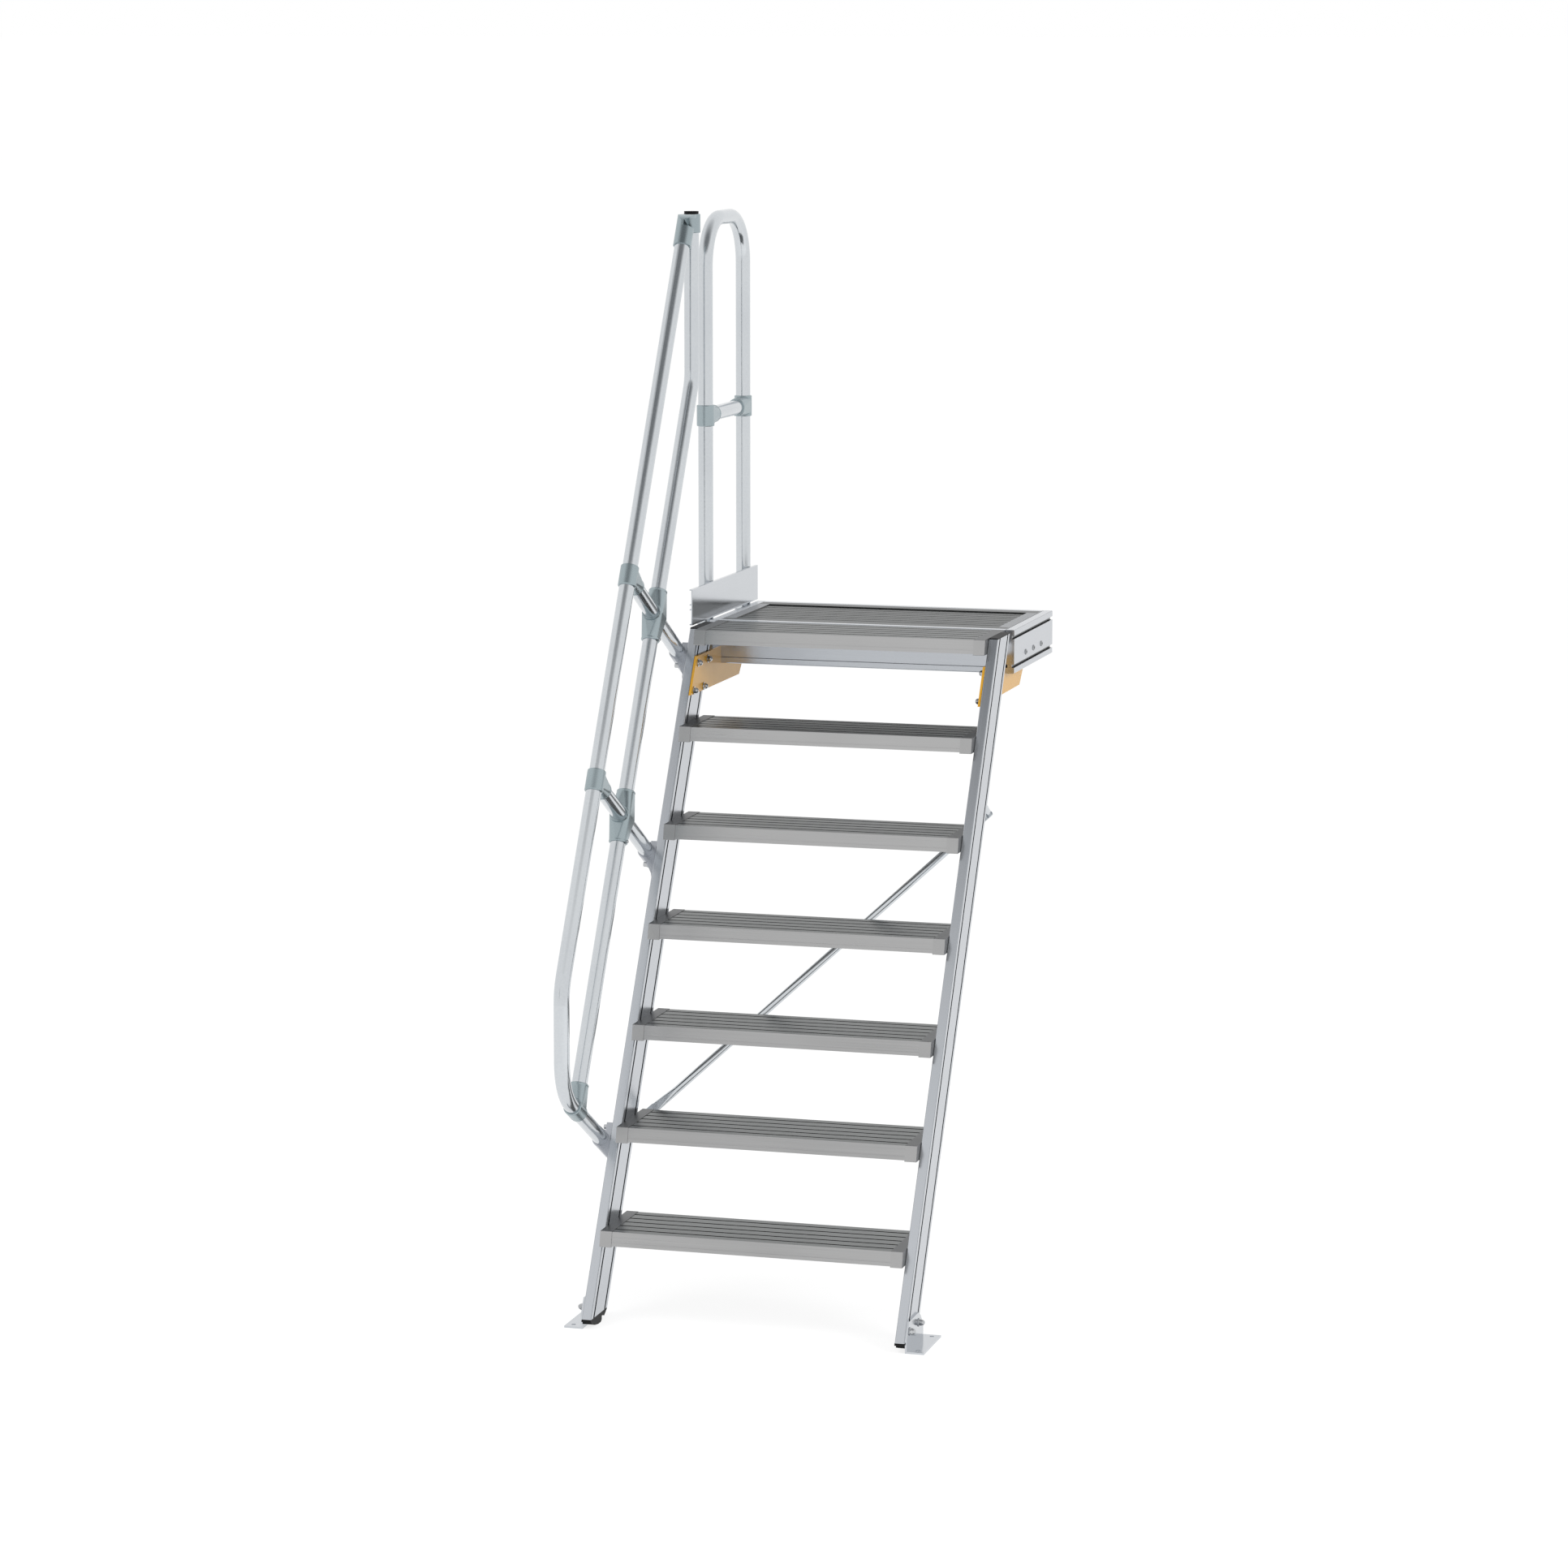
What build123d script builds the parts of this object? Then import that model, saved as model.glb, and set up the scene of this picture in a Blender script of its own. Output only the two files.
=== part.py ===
from build123d import *
import math
import os

os.makedirs("parts", exist_ok=True)

# Platform stair in aluminium: two inclined stringers, six treads, a platform with a front tread,
# a round-tube handrail and a guard hoop on the left.  X runs to the right as seen from the foot,
# Y runs the way one climbs and Z is up.  While it is modelled the floor is z = 0 and the front edge
# of the first tread is y = 0; every piece is moved to the wall face of the platform at the end.
# Levels marked "below" or "above" are taken from the platform, setbacks from its front or rear.

# Flight
rise = 240.0
slope_angle = 60.0
tread_count = 6
inside_width = 795.0
nose_to_stringer = 37.0

# Aluminium profile of the stringers and the platform beams
profile_thickness = 25.0
profile_depth = 117.0
profile_corner = 2.5
profile_wall = 2.0
slot_inset = 20.0
slot_opening = 9.0
slot_lip = 1.8
slot_channel_width = 15.0
slot_channel_depth = 4.5

# Stringer ends
foot_height = 26.5
foot_cap_front = 6.0
foot_cap_rear = 11.5
foot_heel_height = 11.0
foot_heel_inset = 27.0
foot_heel_flat = 13.0
foot_pad_front_inset = 8.0
foot_pad_front_level = 13.5
foot_pad_toe_length = 56.0
foot_pad_corner = 5.0
foot_pad_inset = 1.5
top_cap_thickness = 3.0

# Tread plank and its moulded end caps
tread_depth = 222.0
plank_height = 36.0
plank_wall = 3.0
plank_top = 5.0
nose_lean = 8.7
nose_line_level = 9.0
nose_line_width = 1.4
nose_line_depth = 0.8
groove_count = 5
groove_width = 7.0
groove_depth = 2.2
groove_inset = 29.5
cap_width = 31.0
cap_end_wall = 3.0
cap_proud = 1.2
cap_drop = 3.0
cap_corner = 1.5

# Platform
platform_gap = 3.6
platform_depth = 455.0
beam_cap_thickness = 3.0
deck_sink = 3.0
deck_front_flange = 29.0
deck_rear_flange = 45.0
deck_groove_count = 9
deck_groove_margin = 14.0
toe_board_overhang = 170.0
toe_board_height = 96.0
toe_board_gap = 4.5
toe_board_thickness = 3.0
toe_board_rib = 8.0
toe_board_rib_height = 3.0
toe_board_inset = 2.5
toe_board_rib_levels = (0.0, 40.0, 53.0)

# Coloured plates that join the stringers to the platform
joint_plate_thickness = 6.0
joint_plate_low_below = 169.0
joint_plate_high_below = 71.0
joint_plate_reach = 171.0
joint_plate_chamfer = 38.0
joint_nut_levels_below = (159.0, 90.0)
joint_nut_diameter = 17.0
joint_nut_height = 11.0
joint_washer_diameter = 22.0
joint_washer_thickness = 2.0
beam_nut_setbacks = (73.0, 158.0)

# Floor brackets
bracket_thickness = 5.0
bracket_foot_width = 49.0
bracket_front_inset = 22.0
bracket_heel_reach = 62.0
bracket_upright_inset = 10.0
bracket_top = 76.0
bracket_front_edge = 33.0
bracket_shoulder_width = 21.0
bracket_shoulder_drop = 13.0
bracket_heel_height = 32.0
bracket_hole_radius = 5.5
bracket_hole_inset = 18.0
bracket_hole_reach = 29.5
bracket_nut_level = 50.0
bracket_nut_height = 14.0

# Handrail: one tube size for rails, posts and hoop, with cast fittings
rail_diameter = 40.0
rail_wall = 2.0
rail_outset = 26.0
top_rail_offset = 450.0
knee_rail_offset = 196.5
rail_bend_radius = 140.0
knee_bend_radius = 100.0
lower_upright_y = -145.5
upright_setback = 76.0
plug_height = 7.0
plug_inset = 0.7
upper_post_below = 115.0
post_spacing = 567.0
lower_post_position = 465.0
slip_fit = 0.1

# Castings: sleeves that blend from a rounded rectangle into a round collar
sleeve_wall = 4.0
casting_edge = 2.5
casting_corner = 10.0
collar_length = 7.0
collar_rise = 1.0
collar_flat = 0.5
tee_length = 57.0
branch_reach = 68.0
cross_reach = 72.0
cross_branch_reach = 31.0
cross_half_width = 28.5
elbow_length = 52.0
elbow_sleeve_length = 50.0
elbow_reach = 59.5
elbow_rise = 37.5
elbow_bridge = 9.0
elbow_pocket = 20.0
elbow_round = 45.0

# Sockets that hold the posts on the stringers
socket_front_gap = 3.0
socket_rear_gap = 6.0
socket_flange_reach = 16.0
socket_upper = 25.0
socket_lower = 71.0
socket_knee_reach = 20.0
socket_knee_drop = 35.5
low_socket_upper = 42.5
low_socket_lower = 51.0
socket_bolt_margin = 7.5
socket_bolt_diameter = 13.0
socket_bolt_height = 11.0
socket_bolt_room = 1.5

# Guard hoop beside the platform
hoop_front_setback = 49.5
hoop_rear_setback = 48.0
hoop_top_above = 1094.0
hoop_bend_radius = 130.0
hoop_tube_low_below = 110.0
hoop_bar_above = 548.0
hoop_socket_high_below = 16.0
hoop_socket_low_below = 104.0

# Diagonal brace behind the flight
brace_diameter = 20.0
brace_gap = 3.0
brace_low = 567.0
brace_high_below = 470.0
brace_flat_length = 60.0
brace_taper_length = 65.0
brace_flat_end = 10.0
brace_flat_width = 26.0
brace_flat_corner = 6.0
brace_flat_thickness = 5.0
brace_screw_diameter = 16.0
brace_screw_height = 6.0

# Derived sizes
angle = math.radians(slope_angle)
along = Vector(0, math.cos(angle), math.sin(angle))
across = Vector(0, math.sin(angle), -math.cos(angle))
going = rise / math.tan(angle)
platform_level = (tread_count + 1) * rise
flight_length = platform_level / math.sin(angle)
platform_front = tread_count * going + tread_depth + platform_gap
platform_rear = platform_front + platform_depth
inner_x = inside_width / 2
outer_x = inner_x + profile_thickness
nose_line = -rise / 2
stringer_front = nose_line + nose_to_stringer
stringer_rear = stringer_front + profile_depth
stringer_middle = (stringer_front + stringer_rear) / 2
slot_offset = profile_depth / 2 - slot_inset
slot_depths = (stringer_middle - slot_offset, stringer_middle + slot_offset)
rail_x = -(outer_x + rail_outset)
rail_radius = rail_diameter / 2
rail_bore = rail_radius + slip_fit
tube_gap = rail_radius + rail_wall
top_rail_across = nose_line - top_rail_offset
knee_rail_across = nose_line - knee_rail_offset
upper_post_position = flight_length - upper_post_below
middle_post_position = upper_post_position - post_spacing
sleeve_radius = rail_radius + sleeve_wall
beam_low = platform_level - profile_depth
beam_middle = platform_level - profile_depth / 2
reach_far = 4 * platform_level


def slope_point(distance, depth, x=0.0):
    """Point at a distance up the slope and a depth behind the nose line, at a given x."""
    return along * distance + across * depth + Vector(x, 0, 0)


def slope_distance(y, depth):
    """Distance up the slope at which a line at that depth reaches y."""
    return (y - depth * math.sin(angle)) / math.cos(angle)


def slope_y(depth, level):
    """Where a line at that depth behind the nose line crosses a level."""
    return (depth + level * math.cos(angle)) / math.sin(angle)


def rod(start, end, radius):
    """Round bar between two points."""
    line = Vector(*end) - Vector(*start)
    plane = Plane(origin=start, z_dir=line)
    return extrude(plane * Circle(radius), line.length)


def bored_rod(start, end, radius, bore):
    """Round tube between two points."""
    line = Vector(*end) - Vector(*start)
    plane = Plane(origin=start, z_dir=line)
    return extrude(plane * (Circle(radius) - Circle(bore)), line.length)


def soft_rod(start, end, radius):
    """Round bar whose rims are rounded like those of a casting."""
    body = rod(start, end, radius)
    return fillet(body.edges().filter_by(GeomType.CIRCLE), casting_edge)


def bent_tube(points, bend_radius, radius, wall):
    """Round tube along a bent centre line."""
    path = FilletPolyline(*points, radius=bend_radius)
    plane = Plane(origin=path @ 0, z_dir=path % 0)
    return sweep(plane * (Circle(radius) - Circle(radius - wall)), path=path)


def block(x_range, y_range, z_range):
    """Box given by its three ranges."""
    size = [high - low for low, high in (x_range, y_range, z_range)]
    middle = [(high + low) / 2 for low, high in (x_range, y_range, z_range)]
    return Pos(*middle) * Box(*size)


def side_outline(points, x_low, x_high, corner=0.0):
    """Outline given as y and z points, extruded from one x to another."""
    face = make_face(Polyline(*points, close=True))
    if corner > 0:
        face = fillet(face.vertices(), corner)
    plane = Plane(origin=(x_low, 0, 0), x_dir=(0, 1, 0), z_dir=(1, 0, 0))
    return extrude(plane * face, x_high - x_low)


def cap_nut(point, direction, height=joint_nut_height):
    """Domed nut on a washer; the point lies on the face that carries the washer."""
    plane = Plane(origin=point, z_dir=direction)
    washer = extrude(plane * Circle(joint_washer_diameter / 2), joint_washer_thickness)
    hexagon_height = height * 0.55
    nut_plane = plane.offset(joint_washer_thickness)
    hexagon = extrude(nut_plane * RegularPolygon(joint_nut_diameter / 2, 6), hexagon_height)
    dome_radius = joint_nut_diameter * 0.42
    dome_height = min(height - hexagon_height, dome_radius)
    dome_plane = nut_plane.offset(hexagon_height)
    dome = extrude(dome_plane * Circle(dome_radius), dome_height)
    dome = fillet(dome.edges().group_by(lambda edge: plane.to_local_coords(edge.center()).Z)[-1],
                  dome_height * 0.8)
    return washer + hexagon + dome


def profile_section():
    """Section of the aluminium profile: thickness across X, depth across Y."""
    section = RectangleRounded(profile_thickness, profile_depth, profile_corner)
    half = profile_thickness / 2
    for side in (-1, 1):
        for slot in (-slot_offset, slot_offset):
            section -= Pos(side * (half - slot_lip / 2), slot) * Rectangle(slot_lip, slot_opening)
            channel_x = side * (half - slot_lip - slot_channel_depth / 2)
            section -= Pos(channel_x, slot) * Rectangle(slot_channel_depth, slot_channel_width)
    chamber_width = profile_thickness - 2 * profile_wall
    slot_edge = slot_channel_width / 2 + profile_wall
    section -= Rectangle(chamber_width, 2 * (slot_offset - slot_edge))
    end_low = slot_offset + slot_edge
    end_high = profile_depth / 2 - profile_wall
    for side in (-1, 1):
        end_middle = side * (end_low + end_high) / 2
        section -= Pos(0, end_middle) * Rectangle(chamber_width, end_high - end_low)
    return section


nodes = {}


# Stringers: the profile along the slope, cut level at the foot and at the top
def stringer(x):
    plane = Plane(origin=slope_point(-rise, stringer_middle, x), x_dir=(1, 0, 0), z_dir=along)
    body = extrude(plane * profile_section(), flight_length + 3 * rise)
    window = block((x - profile_thickness, x + profile_thickness), (-reach_far, reach_far),
                   (foot_height, platform_level - top_cap_thickness))
    return body & window


def stringer_slice(x, low, high):
    """Solid piece with the stringer's outline between two levels."""
    plane = Plane(origin=slope_point(-rise, stringer_middle, x), x_dir=(1, 0, 0), z_dir=along)
    outline = RectangleRounded(profile_thickness, profile_depth, profile_corner)
    body = extrude(plane * outline, flight_length + 3 * rise)
    return body & block((x - profile_thickness, x + profile_thickness), (-reach_far, reach_far), (low, high))


def foot(x):
    """Rubber foot: a cap with a raised heel under the level cut, and a pad with a raised toe."""
    front = slope_y(stringer_front, foot_height)
    rear = slope_y(stringer_rear, foot_height)
    cap_low = foot_height - foot_cap_front
    heel_low = rear - foot_heel_inset
    heel_step = heel_low - foot_heel_flat
    pad_top = foot_height - foot_cap_rear
    cap = [
        (front, foot_height),
        (slope_y(stringer_front, cap_low), cap_low),
        (heel_step, pad_top),
        (heel_low, foot_heel_height),
        (rear, foot_height),
    ]
    pad_front = front + foot_pad_front_inset
    pad = [
        (pad_front, foot_height - foot_cap_front / 2),
        (pad_front, foot_pad_front_level),
        (pad_front + foot_pad_toe_length / 2, foot_pad_front_level * 0.35),
        (pad_front + foot_pad_toe_length, 0),
        (heel_step - foot_pad_corner * 2, 0),
        (heel_step - foot_pad_corner / 2, foot_pad_corner),
        (heel_step - foot_pad_corner / 4, foot_height - foot_cap_front / 2),
    ]
    half = profile_thickness / 2
    body = side_outline(cap, x - half, x + half, cap_corner)
    return body + side_outline(pad, x - half + foot_pad_inset, x + half - foot_pad_inset)


stringer_x = (inner_x + outer_x) / 2
nodes["left_stringer"] = stringer(-stringer_x)
nodes["right_stringer"] = stringer(stringer_x)
nodes["stringer_feet"] = [foot(-stringer_x), foot(stringer_x)]
nodes["stringer_top_caps"] = [
    stringer_slice(side * stringer_x, platform_level - top_cap_thickness, platform_level) for side in (-1, 1)
]


# Treads: a grooved hollow plank, and a moulded cap on each end
def nose_face(nose_y, low, top, lean):
    """Points up the leaning front face, with the fine line that runs along the nose."""
    points = [(nose_y - lean, low)]
    for level, inset in ((nose_line_level, 0), (nose_line_level, nose_line_depth),
                         (nose_line_level + nose_line_width, nose_line_depth),
                         (nose_line_level + nose_line_width, 0)):
        points.append((nose_y - lean * (1 - level / (top - low)) + inset, low + level))
    return points + [(nose_y, top)]


def plank(nose_y, top, depth, front_flange, rear_flange, grooves, margin, lean, flange_rise, half_length):
    """Hollow plank along X; its rib tops lie at top and its front top edge at nose_y."""
    low = top - plank_height
    rear = nose_y + depth
    points = nose_face(nose_y, low, top, lean)
    if front_flange > 0:
        points = [
            (nose_y - lean, low),
            (nose_y, top + flange_rise),
            (nose_y + front_flange, top + flange_rise),
            (nose_y + front_flange, top),
        ]
    rear_top = top
    if rear_flange > 0:
        rear_top = top + flange_rise
        points += [(rear - rear_flange, top), (rear - rear_flange, rear_top)]
    points += [(rear, rear_top), (rear, low)]
    body = side_outline(points, -half_length, half_length)
    chamber_span = (depth - 4 * plank_wall - plank_wall) / 3
    for index in range(3):
        start = nose_y + 2 * plank_wall + index * (chamber_span + plank_wall)
        body -= block((-half_length, half_length), (start, start + chamber_span),
                      (low + plank_wall, top - plank_top))
    field_start = nose_y + front_flange + margin
    field_end = rear - rear_flange - margin
    pitch = (field_end - field_start) / (grooves - 1)
    open_half = inner_x - cap_width
    for index in range(grooves):
        centre = field_start + index * pitch
        body -= block((-open_half, open_half), (centre - groove_width / 2, centre + groove_width / 2),
                      (top - groove_depth, top + flange_rise))
    return body


def end_cap(side, nose_y, rear, top, bottom, lean, hollow):
    """Moulded cap round one end of a plank; hollow is the plank outline that it takes."""
    drop = (top - bottom) / plank_height * lean
    outline = [(nose_y - drop, bottom), (nose_y, top), (rear, top), (rear, bottom)]
    inner = inner_x - cap_width
    x_low, x_high = sorted((side * inner, side * inner_x))
    body = side_outline(outline, x_low, x_high, cap_corner)
    seat_low, seat_high = sorted((side * (inner - 1), side * (inner_x - cap_end_wall)))
    return body - side_outline(hollow, seat_low, seat_high)


tread_caps = []
for level in range(1, tread_count + 2):
    nose_y = (level - 1) * going
    top = level * rise
    plank_nose = nose_y + cap_proud
    plank_rib_top = top - cap_proud
    plank_rear = plank_nose + tread_depth - 2 * cap_proud
    name = "platform_front_tread" if level == tread_count + 1 else f"tread_{level}"
    nodes[name] = plank(plank_nose, plank_rib_top, plank_rear - plank_nose, 0.0, 0.0,
                        groove_count, groove_inset, nose_lean, 0.0, inner_x - cap_end_wall)
    plank_low = plank_rib_top - plank_height
    seat = [
        (plank_nose - nose_lean, plank_low),
        (plank_nose, plank_rib_top),
        (plank_rear, plank_rib_top),
        (plank_rear, plank_low),
    ]
    for side in (-1, 1):
        tread_caps.append(end_cap(side, nose_y, plank_rear + cap_proud, top, plank_low - cap_drop, nose_lean, seat))
nodes["tread_end_caps"] = tread_caps


# Platform frame: two side beams and two cross beams of the same profile
def side_beam(x):
    plane = Plane(origin=(x, platform_front + beam_cap_thickness, beam_middle), x_dir=(1, 0, 0), z_dir=(0, 1, 0))
    return extrude(plane * profile_section(), platform_rear - platform_front - 2 * beam_cap_thickness)


def beam_end_cap(x, y):
    """Plate on a beam's end, notched where the slots of the beam run out."""
    plane = Plane(origin=(x, y, beam_middle), x_dir=(1, 0, 0), z_dir=(0, 1, 0))
    outline = RectangleRounded(profile_thickness, profile_depth, profile_corner)
    notch_depth = slot_lip + slot_channel_depth
    for side in (-1, 1):
        for slot in (-slot_offset, slot_offset):
            notch_x = side * (profile_thickness - notch_depth) / 2
            outline -= Pos(notch_x, slot) * Rectangle(notch_depth, slot_opening)
    return extrude(plane * outline, beam_cap_thickness)


def cross_beam(y):
    plane = Plane(origin=(-inner_x, y, beam_middle), x_dir=(0, 1, 0), z_dir=(1, 0, 0))
    return extrude(plane * profile_section(), inside_width)


joint_plate_low = platform_level - joint_plate_low_below
joint_plate_high = platform_level - joint_plate_high_below
joint_plate_rear = platform_front + joint_plate_reach


def joint_plate(side):
    """Plate on the inner faces of stringer and side beam, front edge along the slope."""
    points = [
        (slope_y(stringer_front, joint_plate_low), joint_plate_low),
        (slope_y(stringer_front, joint_plate_high), joint_plate_high),
        (joint_plate_rear + joint_plate_chamfer, joint_plate_high),
        (joint_plate_rear + joint_plate_chamfer, joint_plate_low + joint_plate_chamfer),
        (joint_plate_rear, joint_plate_low),
    ]
    x_low, x_high = sorted((side * (inner_x - joint_plate_thickness), side * inner_x))
    return side_outline(points, x_low, x_high)


nodes["left_side_beam"] = side_beam(-stringer_x)
nodes["right_side_beam"] = side_beam(stringer_x)
nodes["side_beam_end_caps"] = [
    beam_end_cap(side * stringer_x, y)
    for side in (-1, 1)
    for y in (platform_front, platform_rear - beam_cap_thickness)
]
front_beam_y = platform_front + profile_thickness / 2
rear_beam_y = platform_rear - profile_thickness / 2
plate_seats = block((-inner_x, inner_x), (platform_front, platform_front + profile_thickness),
                    (beam_low, joint_plate_high))
plate_seats -= block((-inner_x + joint_plate_thickness, inner_x - joint_plate_thickness),
                     (platform_front, platform_front + profile_thickness), (beam_low, joint_plate_high))
nodes["front_cross_beam"] = cross_beam(front_beam_y) - plate_seats
nodes["rear_cross_beam"] = cross_beam(rear_beam_y)
nodes["left_joint_plate"] = joint_plate(-1)
nodes["right_joint_plate"] = joint_plate(1)

# Deck between the cross beams, with caps along the side beams
deck_front = platform_front + profile_thickness
deck_rear = platform_rear - profile_thickness
nodes["deck_panel"] = plank(deck_front, platform_level - deck_sink, deck_rear - deck_front, deck_front_flange,
                            deck_rear_flange, deck_groove_count, deck_groove_margin, 0.0, deck_sink,
                            inner_x - cap_end_wall)
deck_low = platform_level - deck_sink - plank_height
deck_seat = [
    (deck_front, deck_low),
    (deck_front, platform_level + 1),
    (deck_front + deck_front_flange, platform_level + 1),
    (deck_front + deck_front_flange, platform_level - deck_sink),
    (deck_rear - deck_rear_flange, platform_level - deck_sink),
    (deck_rear - deck_rear_flange, platform_level + 1),
    (deck_rear, platform_level + 1),
    (deck_rear, deck_low),
]
deck_caps = []
for side in (-1, 1):
    inner = inner_x - cap_width
    x_low, x_high = sorted((side * inner, side * inner_x))
    seat_low, seat_high = sorted((side * (inner - 1), side * (inner_x - cap_end_wall)))
    cap = block((x_low, x_high), (deck_front, deck_rear), (deck_low - cap_drop, platform_level))
    deck_caps.append(cap - side_outline(deck_seat, seat_low, seat_high))
nodes["deck_end_caps"] = deck_caps

# Toe board: a thin upright plate with ribs along its outer side
toe_low = platform_level + toe_board_gap
toe_high = toe_low + toe_board_height
toe_inner_x = -(outer_x - toe_board_inset)
toe_y_range = (platform_front - toe_board_overhang, platform_rear - beam_cap_thickness)
toe_board = block((toe_inner_x - toe_board_thickness, toe_inner_x), toe_y_range, (toe_low, toe_high))
toe_board_ribs = [toe_low + offset for offset in toe_board_rib_levels]
toe_board_ribs.append(toe_high - toe_board_rib_height)
for rib_low in toe_board_ribs:
    toe_board += block((toe_inner_x - toe_board_rib, toe_inner_x), toe_y_range,
                       (rib_low, rib_low + toe_board_rib_height))
nodes["toe_board"] = toe_board

# Nuts on the joint plates, in line with the stringer slots, and on the side beams' low slots
plate_nuts = []
for side in (-1, 1):
    face_x = side * (inner_x - joint_plate_thickness)
    for drop in joint_nut_levels_below:
        nut_level = platform_level - drop
        for depth in slot_depths:
            plate_nuts.append(cap_nut((face_x, slope_y(depth, nut_level), nut_level), (-side, 0, 0)))
    for setback in beam_nut_setbacks:
        plate_nuts.append(cap_nut((face_x, platform_front + setback, beam_middle - slot_offset), (-side, 0, 0)))
nodes["joint_plate_nuts"] = plate_nuts

# Floor brackets: an upright plate on the stringer's outer face and a drilled foot plate
bracket_front = slope_y(stringer_front, 0) + bracket_front_inset
bracket_rear = slope_y(stringer_rear, 0) + bracket_heel_reach


def floor_bracket(side):
    lean = (bracket_top - bracket_front_edge) / math.tan(angle)
    top_rear = slope_y(slot_depths[1], bracket_nut_level)
    upright_rear = bracket_rear - bracket_upright_inset
    upright = [
        (bracket_front, 0),
        (bracket_front, bracket_front_edge),
        (bracket_front + lean, bracket_top),
        (top_rear, bracket_top),
        (top_rear + bracket_shoulder_width, bracket_top - bracket_shoulder_drop),
        (upright_rear, bracket_heel_height),
        (upright_rear, 0),
    ]
    x_low, x_high = sorted((side * outer_x, side * (outer_x + bracket_thickness)))
    plate = side_outline(upright, x_low, x_high)
    x_low, x_high = sorted((side * outer_x, side * (outer_x + bracket_foot_width)))
    foot_plate = block((x_low, x_high), (bracket_front, bracket_rear), (0, bracket_thickness))
    hole_x = side * (outer_x + bracket_hole_reach)
    for hole_y in (bracket_front + bracket_hole_inset, bracket_rear - bracket_hole_inset):
        foot_plate -= rod((hole_x, hole_y, -1), (hole_x, hole_y, bracket_thickness + 1), bracket_hole_radius)
    return plate + foot_plate


nodes["left_floor_bracket"] = floor_bracket(-1)
nodes["right_floor_bracket"] = floor_bracket(1)
nodes["floor_bracket_nuts"] = [
    cap_nut((side * (outer_x + bracket_thickness), slope_y(depth, bracket_nut_level), bracket_nut_level),
            (side, 0, 0), bracket_nut_height)
    for side in (-1, 1)
    for depth in slot_depths
]

# Handrail: the lowest post, the lower upright and the top rail are one bent tube
socket_front = stringer_front + socket_front_gap
socket_rear = stringer_rear - socket_rear_gap
upper_upright_y = platform_front - upright_setback
rail_end_position = slope_distance(upper_upright_y - elbow_reach, top_rail_across)
rail_end = slope_point(rail_end_position, top_rail_across, rail_x)
upright_top = rail_end.Z + elbow_rise
lower_corner_across = (lower_upright_y - lower_post_position * math.cos(angle)) / math.sin(angle)
top_rail_points = [
    slope_point(lower_post_position, socket_rear, rail_x),
    slope_point(lower_post_position, lower_corner_across, rail_x),
    slope_point(slope_distance(lower_upright_y, top_rail_across), top_rail_across, rail_x),
    rail_end,
]
nodes["top_rail_tube"] = bent_tube(top_rail_points, rail_bend_radius, rail_radius, rail_wall)

# The knee rail and the upper upright are another bent tube
knee_rail_points = [
    slope_point(lower_post_position + tube_gap, knee_rail_across, rail_x),
    slope_point(slope_distance(upper_upright_y, knee_rail_across), knee_rail_across, rail_x),
    Vector(rail_x, upper_upright_y, upright_top),
]
nodes["knee_rail_tube"] = bent_tube(knee_rail_points, knee_bend_radius, rail_radius, rail_wall)


def post(position):
    """Post in two lengths, above and below the knee rail."""
    lengths = ((top_rail_across + tube_gap, knee_rail_across - tube_gap),
               (knee_rail_across + tube_gap, socket_rear))
    return [
        bored_rod(slope_point(position, high, rail_x), slope_point(position, low, rail_x), rail_radius,
                  rail_radius - rail_wall)
        for high, low in lengths
    ]


nodes["upper_post"] = post(upper_post_position)
nodes["middle_post"] = post(middle_post_position)


def blend(plane, reach, size):
    """Solid that runs from a rounded rectangle on a plane to a sleeve's circle further along it."""
    far_radius = sleeve_radius - collar_rise / 2
    near = RectangleRounded(*size, casting_corner)
    far = RectangleRounded(2 * far_radius, 2 * far_radius, far_radius - collar_flat)
    return loft([plane * near, plane.offset(reach) * far], ruled=True)


def branch_bore(origin, direction, reach):
    """Bore of a branch; it starts inside the bore of the sleeve that it leaves."""
    return rod(origin + direction * (rail_radius / 2), origin + direction * reach, rail_bore)


def collar(origin, direction, reach):
    """Round band at the mouth of a casting."""
    return soft_rod(origin + direction * (reach - collar_length), origin + direction * reach,
                    sleeve_radius + collar_rise / 2)


def tee_casting(plane):
    """Sleeve along the plane's z with a branch along its x, both bored for the tube."""
    low = plane.from_local_coords((0, 0, -tee_length / 2))
    high = plane.from_local_coords((0, 0, tee_length / 2))
    origin = plane.origin
    size = (2 * sleeve_radius - casting_edge / 2, tee_length - 2 * casting_edge)
    body = soft_rod(low, high, sleeve_radius)
    body += blend(Plane(origin=origin, x_dir=plane.y_dir, z_dir=plane.x_dir), branch_reach - collar_length / 2, size)
    body += collar(origin, plane.x_dir, branch_reach)
    body -= rod(low, high, rail_bore)
    return body - branch_bore(origin, plane.x_dir, branch_reach)


def rail_tee(position):
    """Tee under the top rail that takes a post."""
    return tee_casting(Plane(origin=slope_point(position, top_rail_across, rail_x), x_dir=across, z_dir=along))


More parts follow.
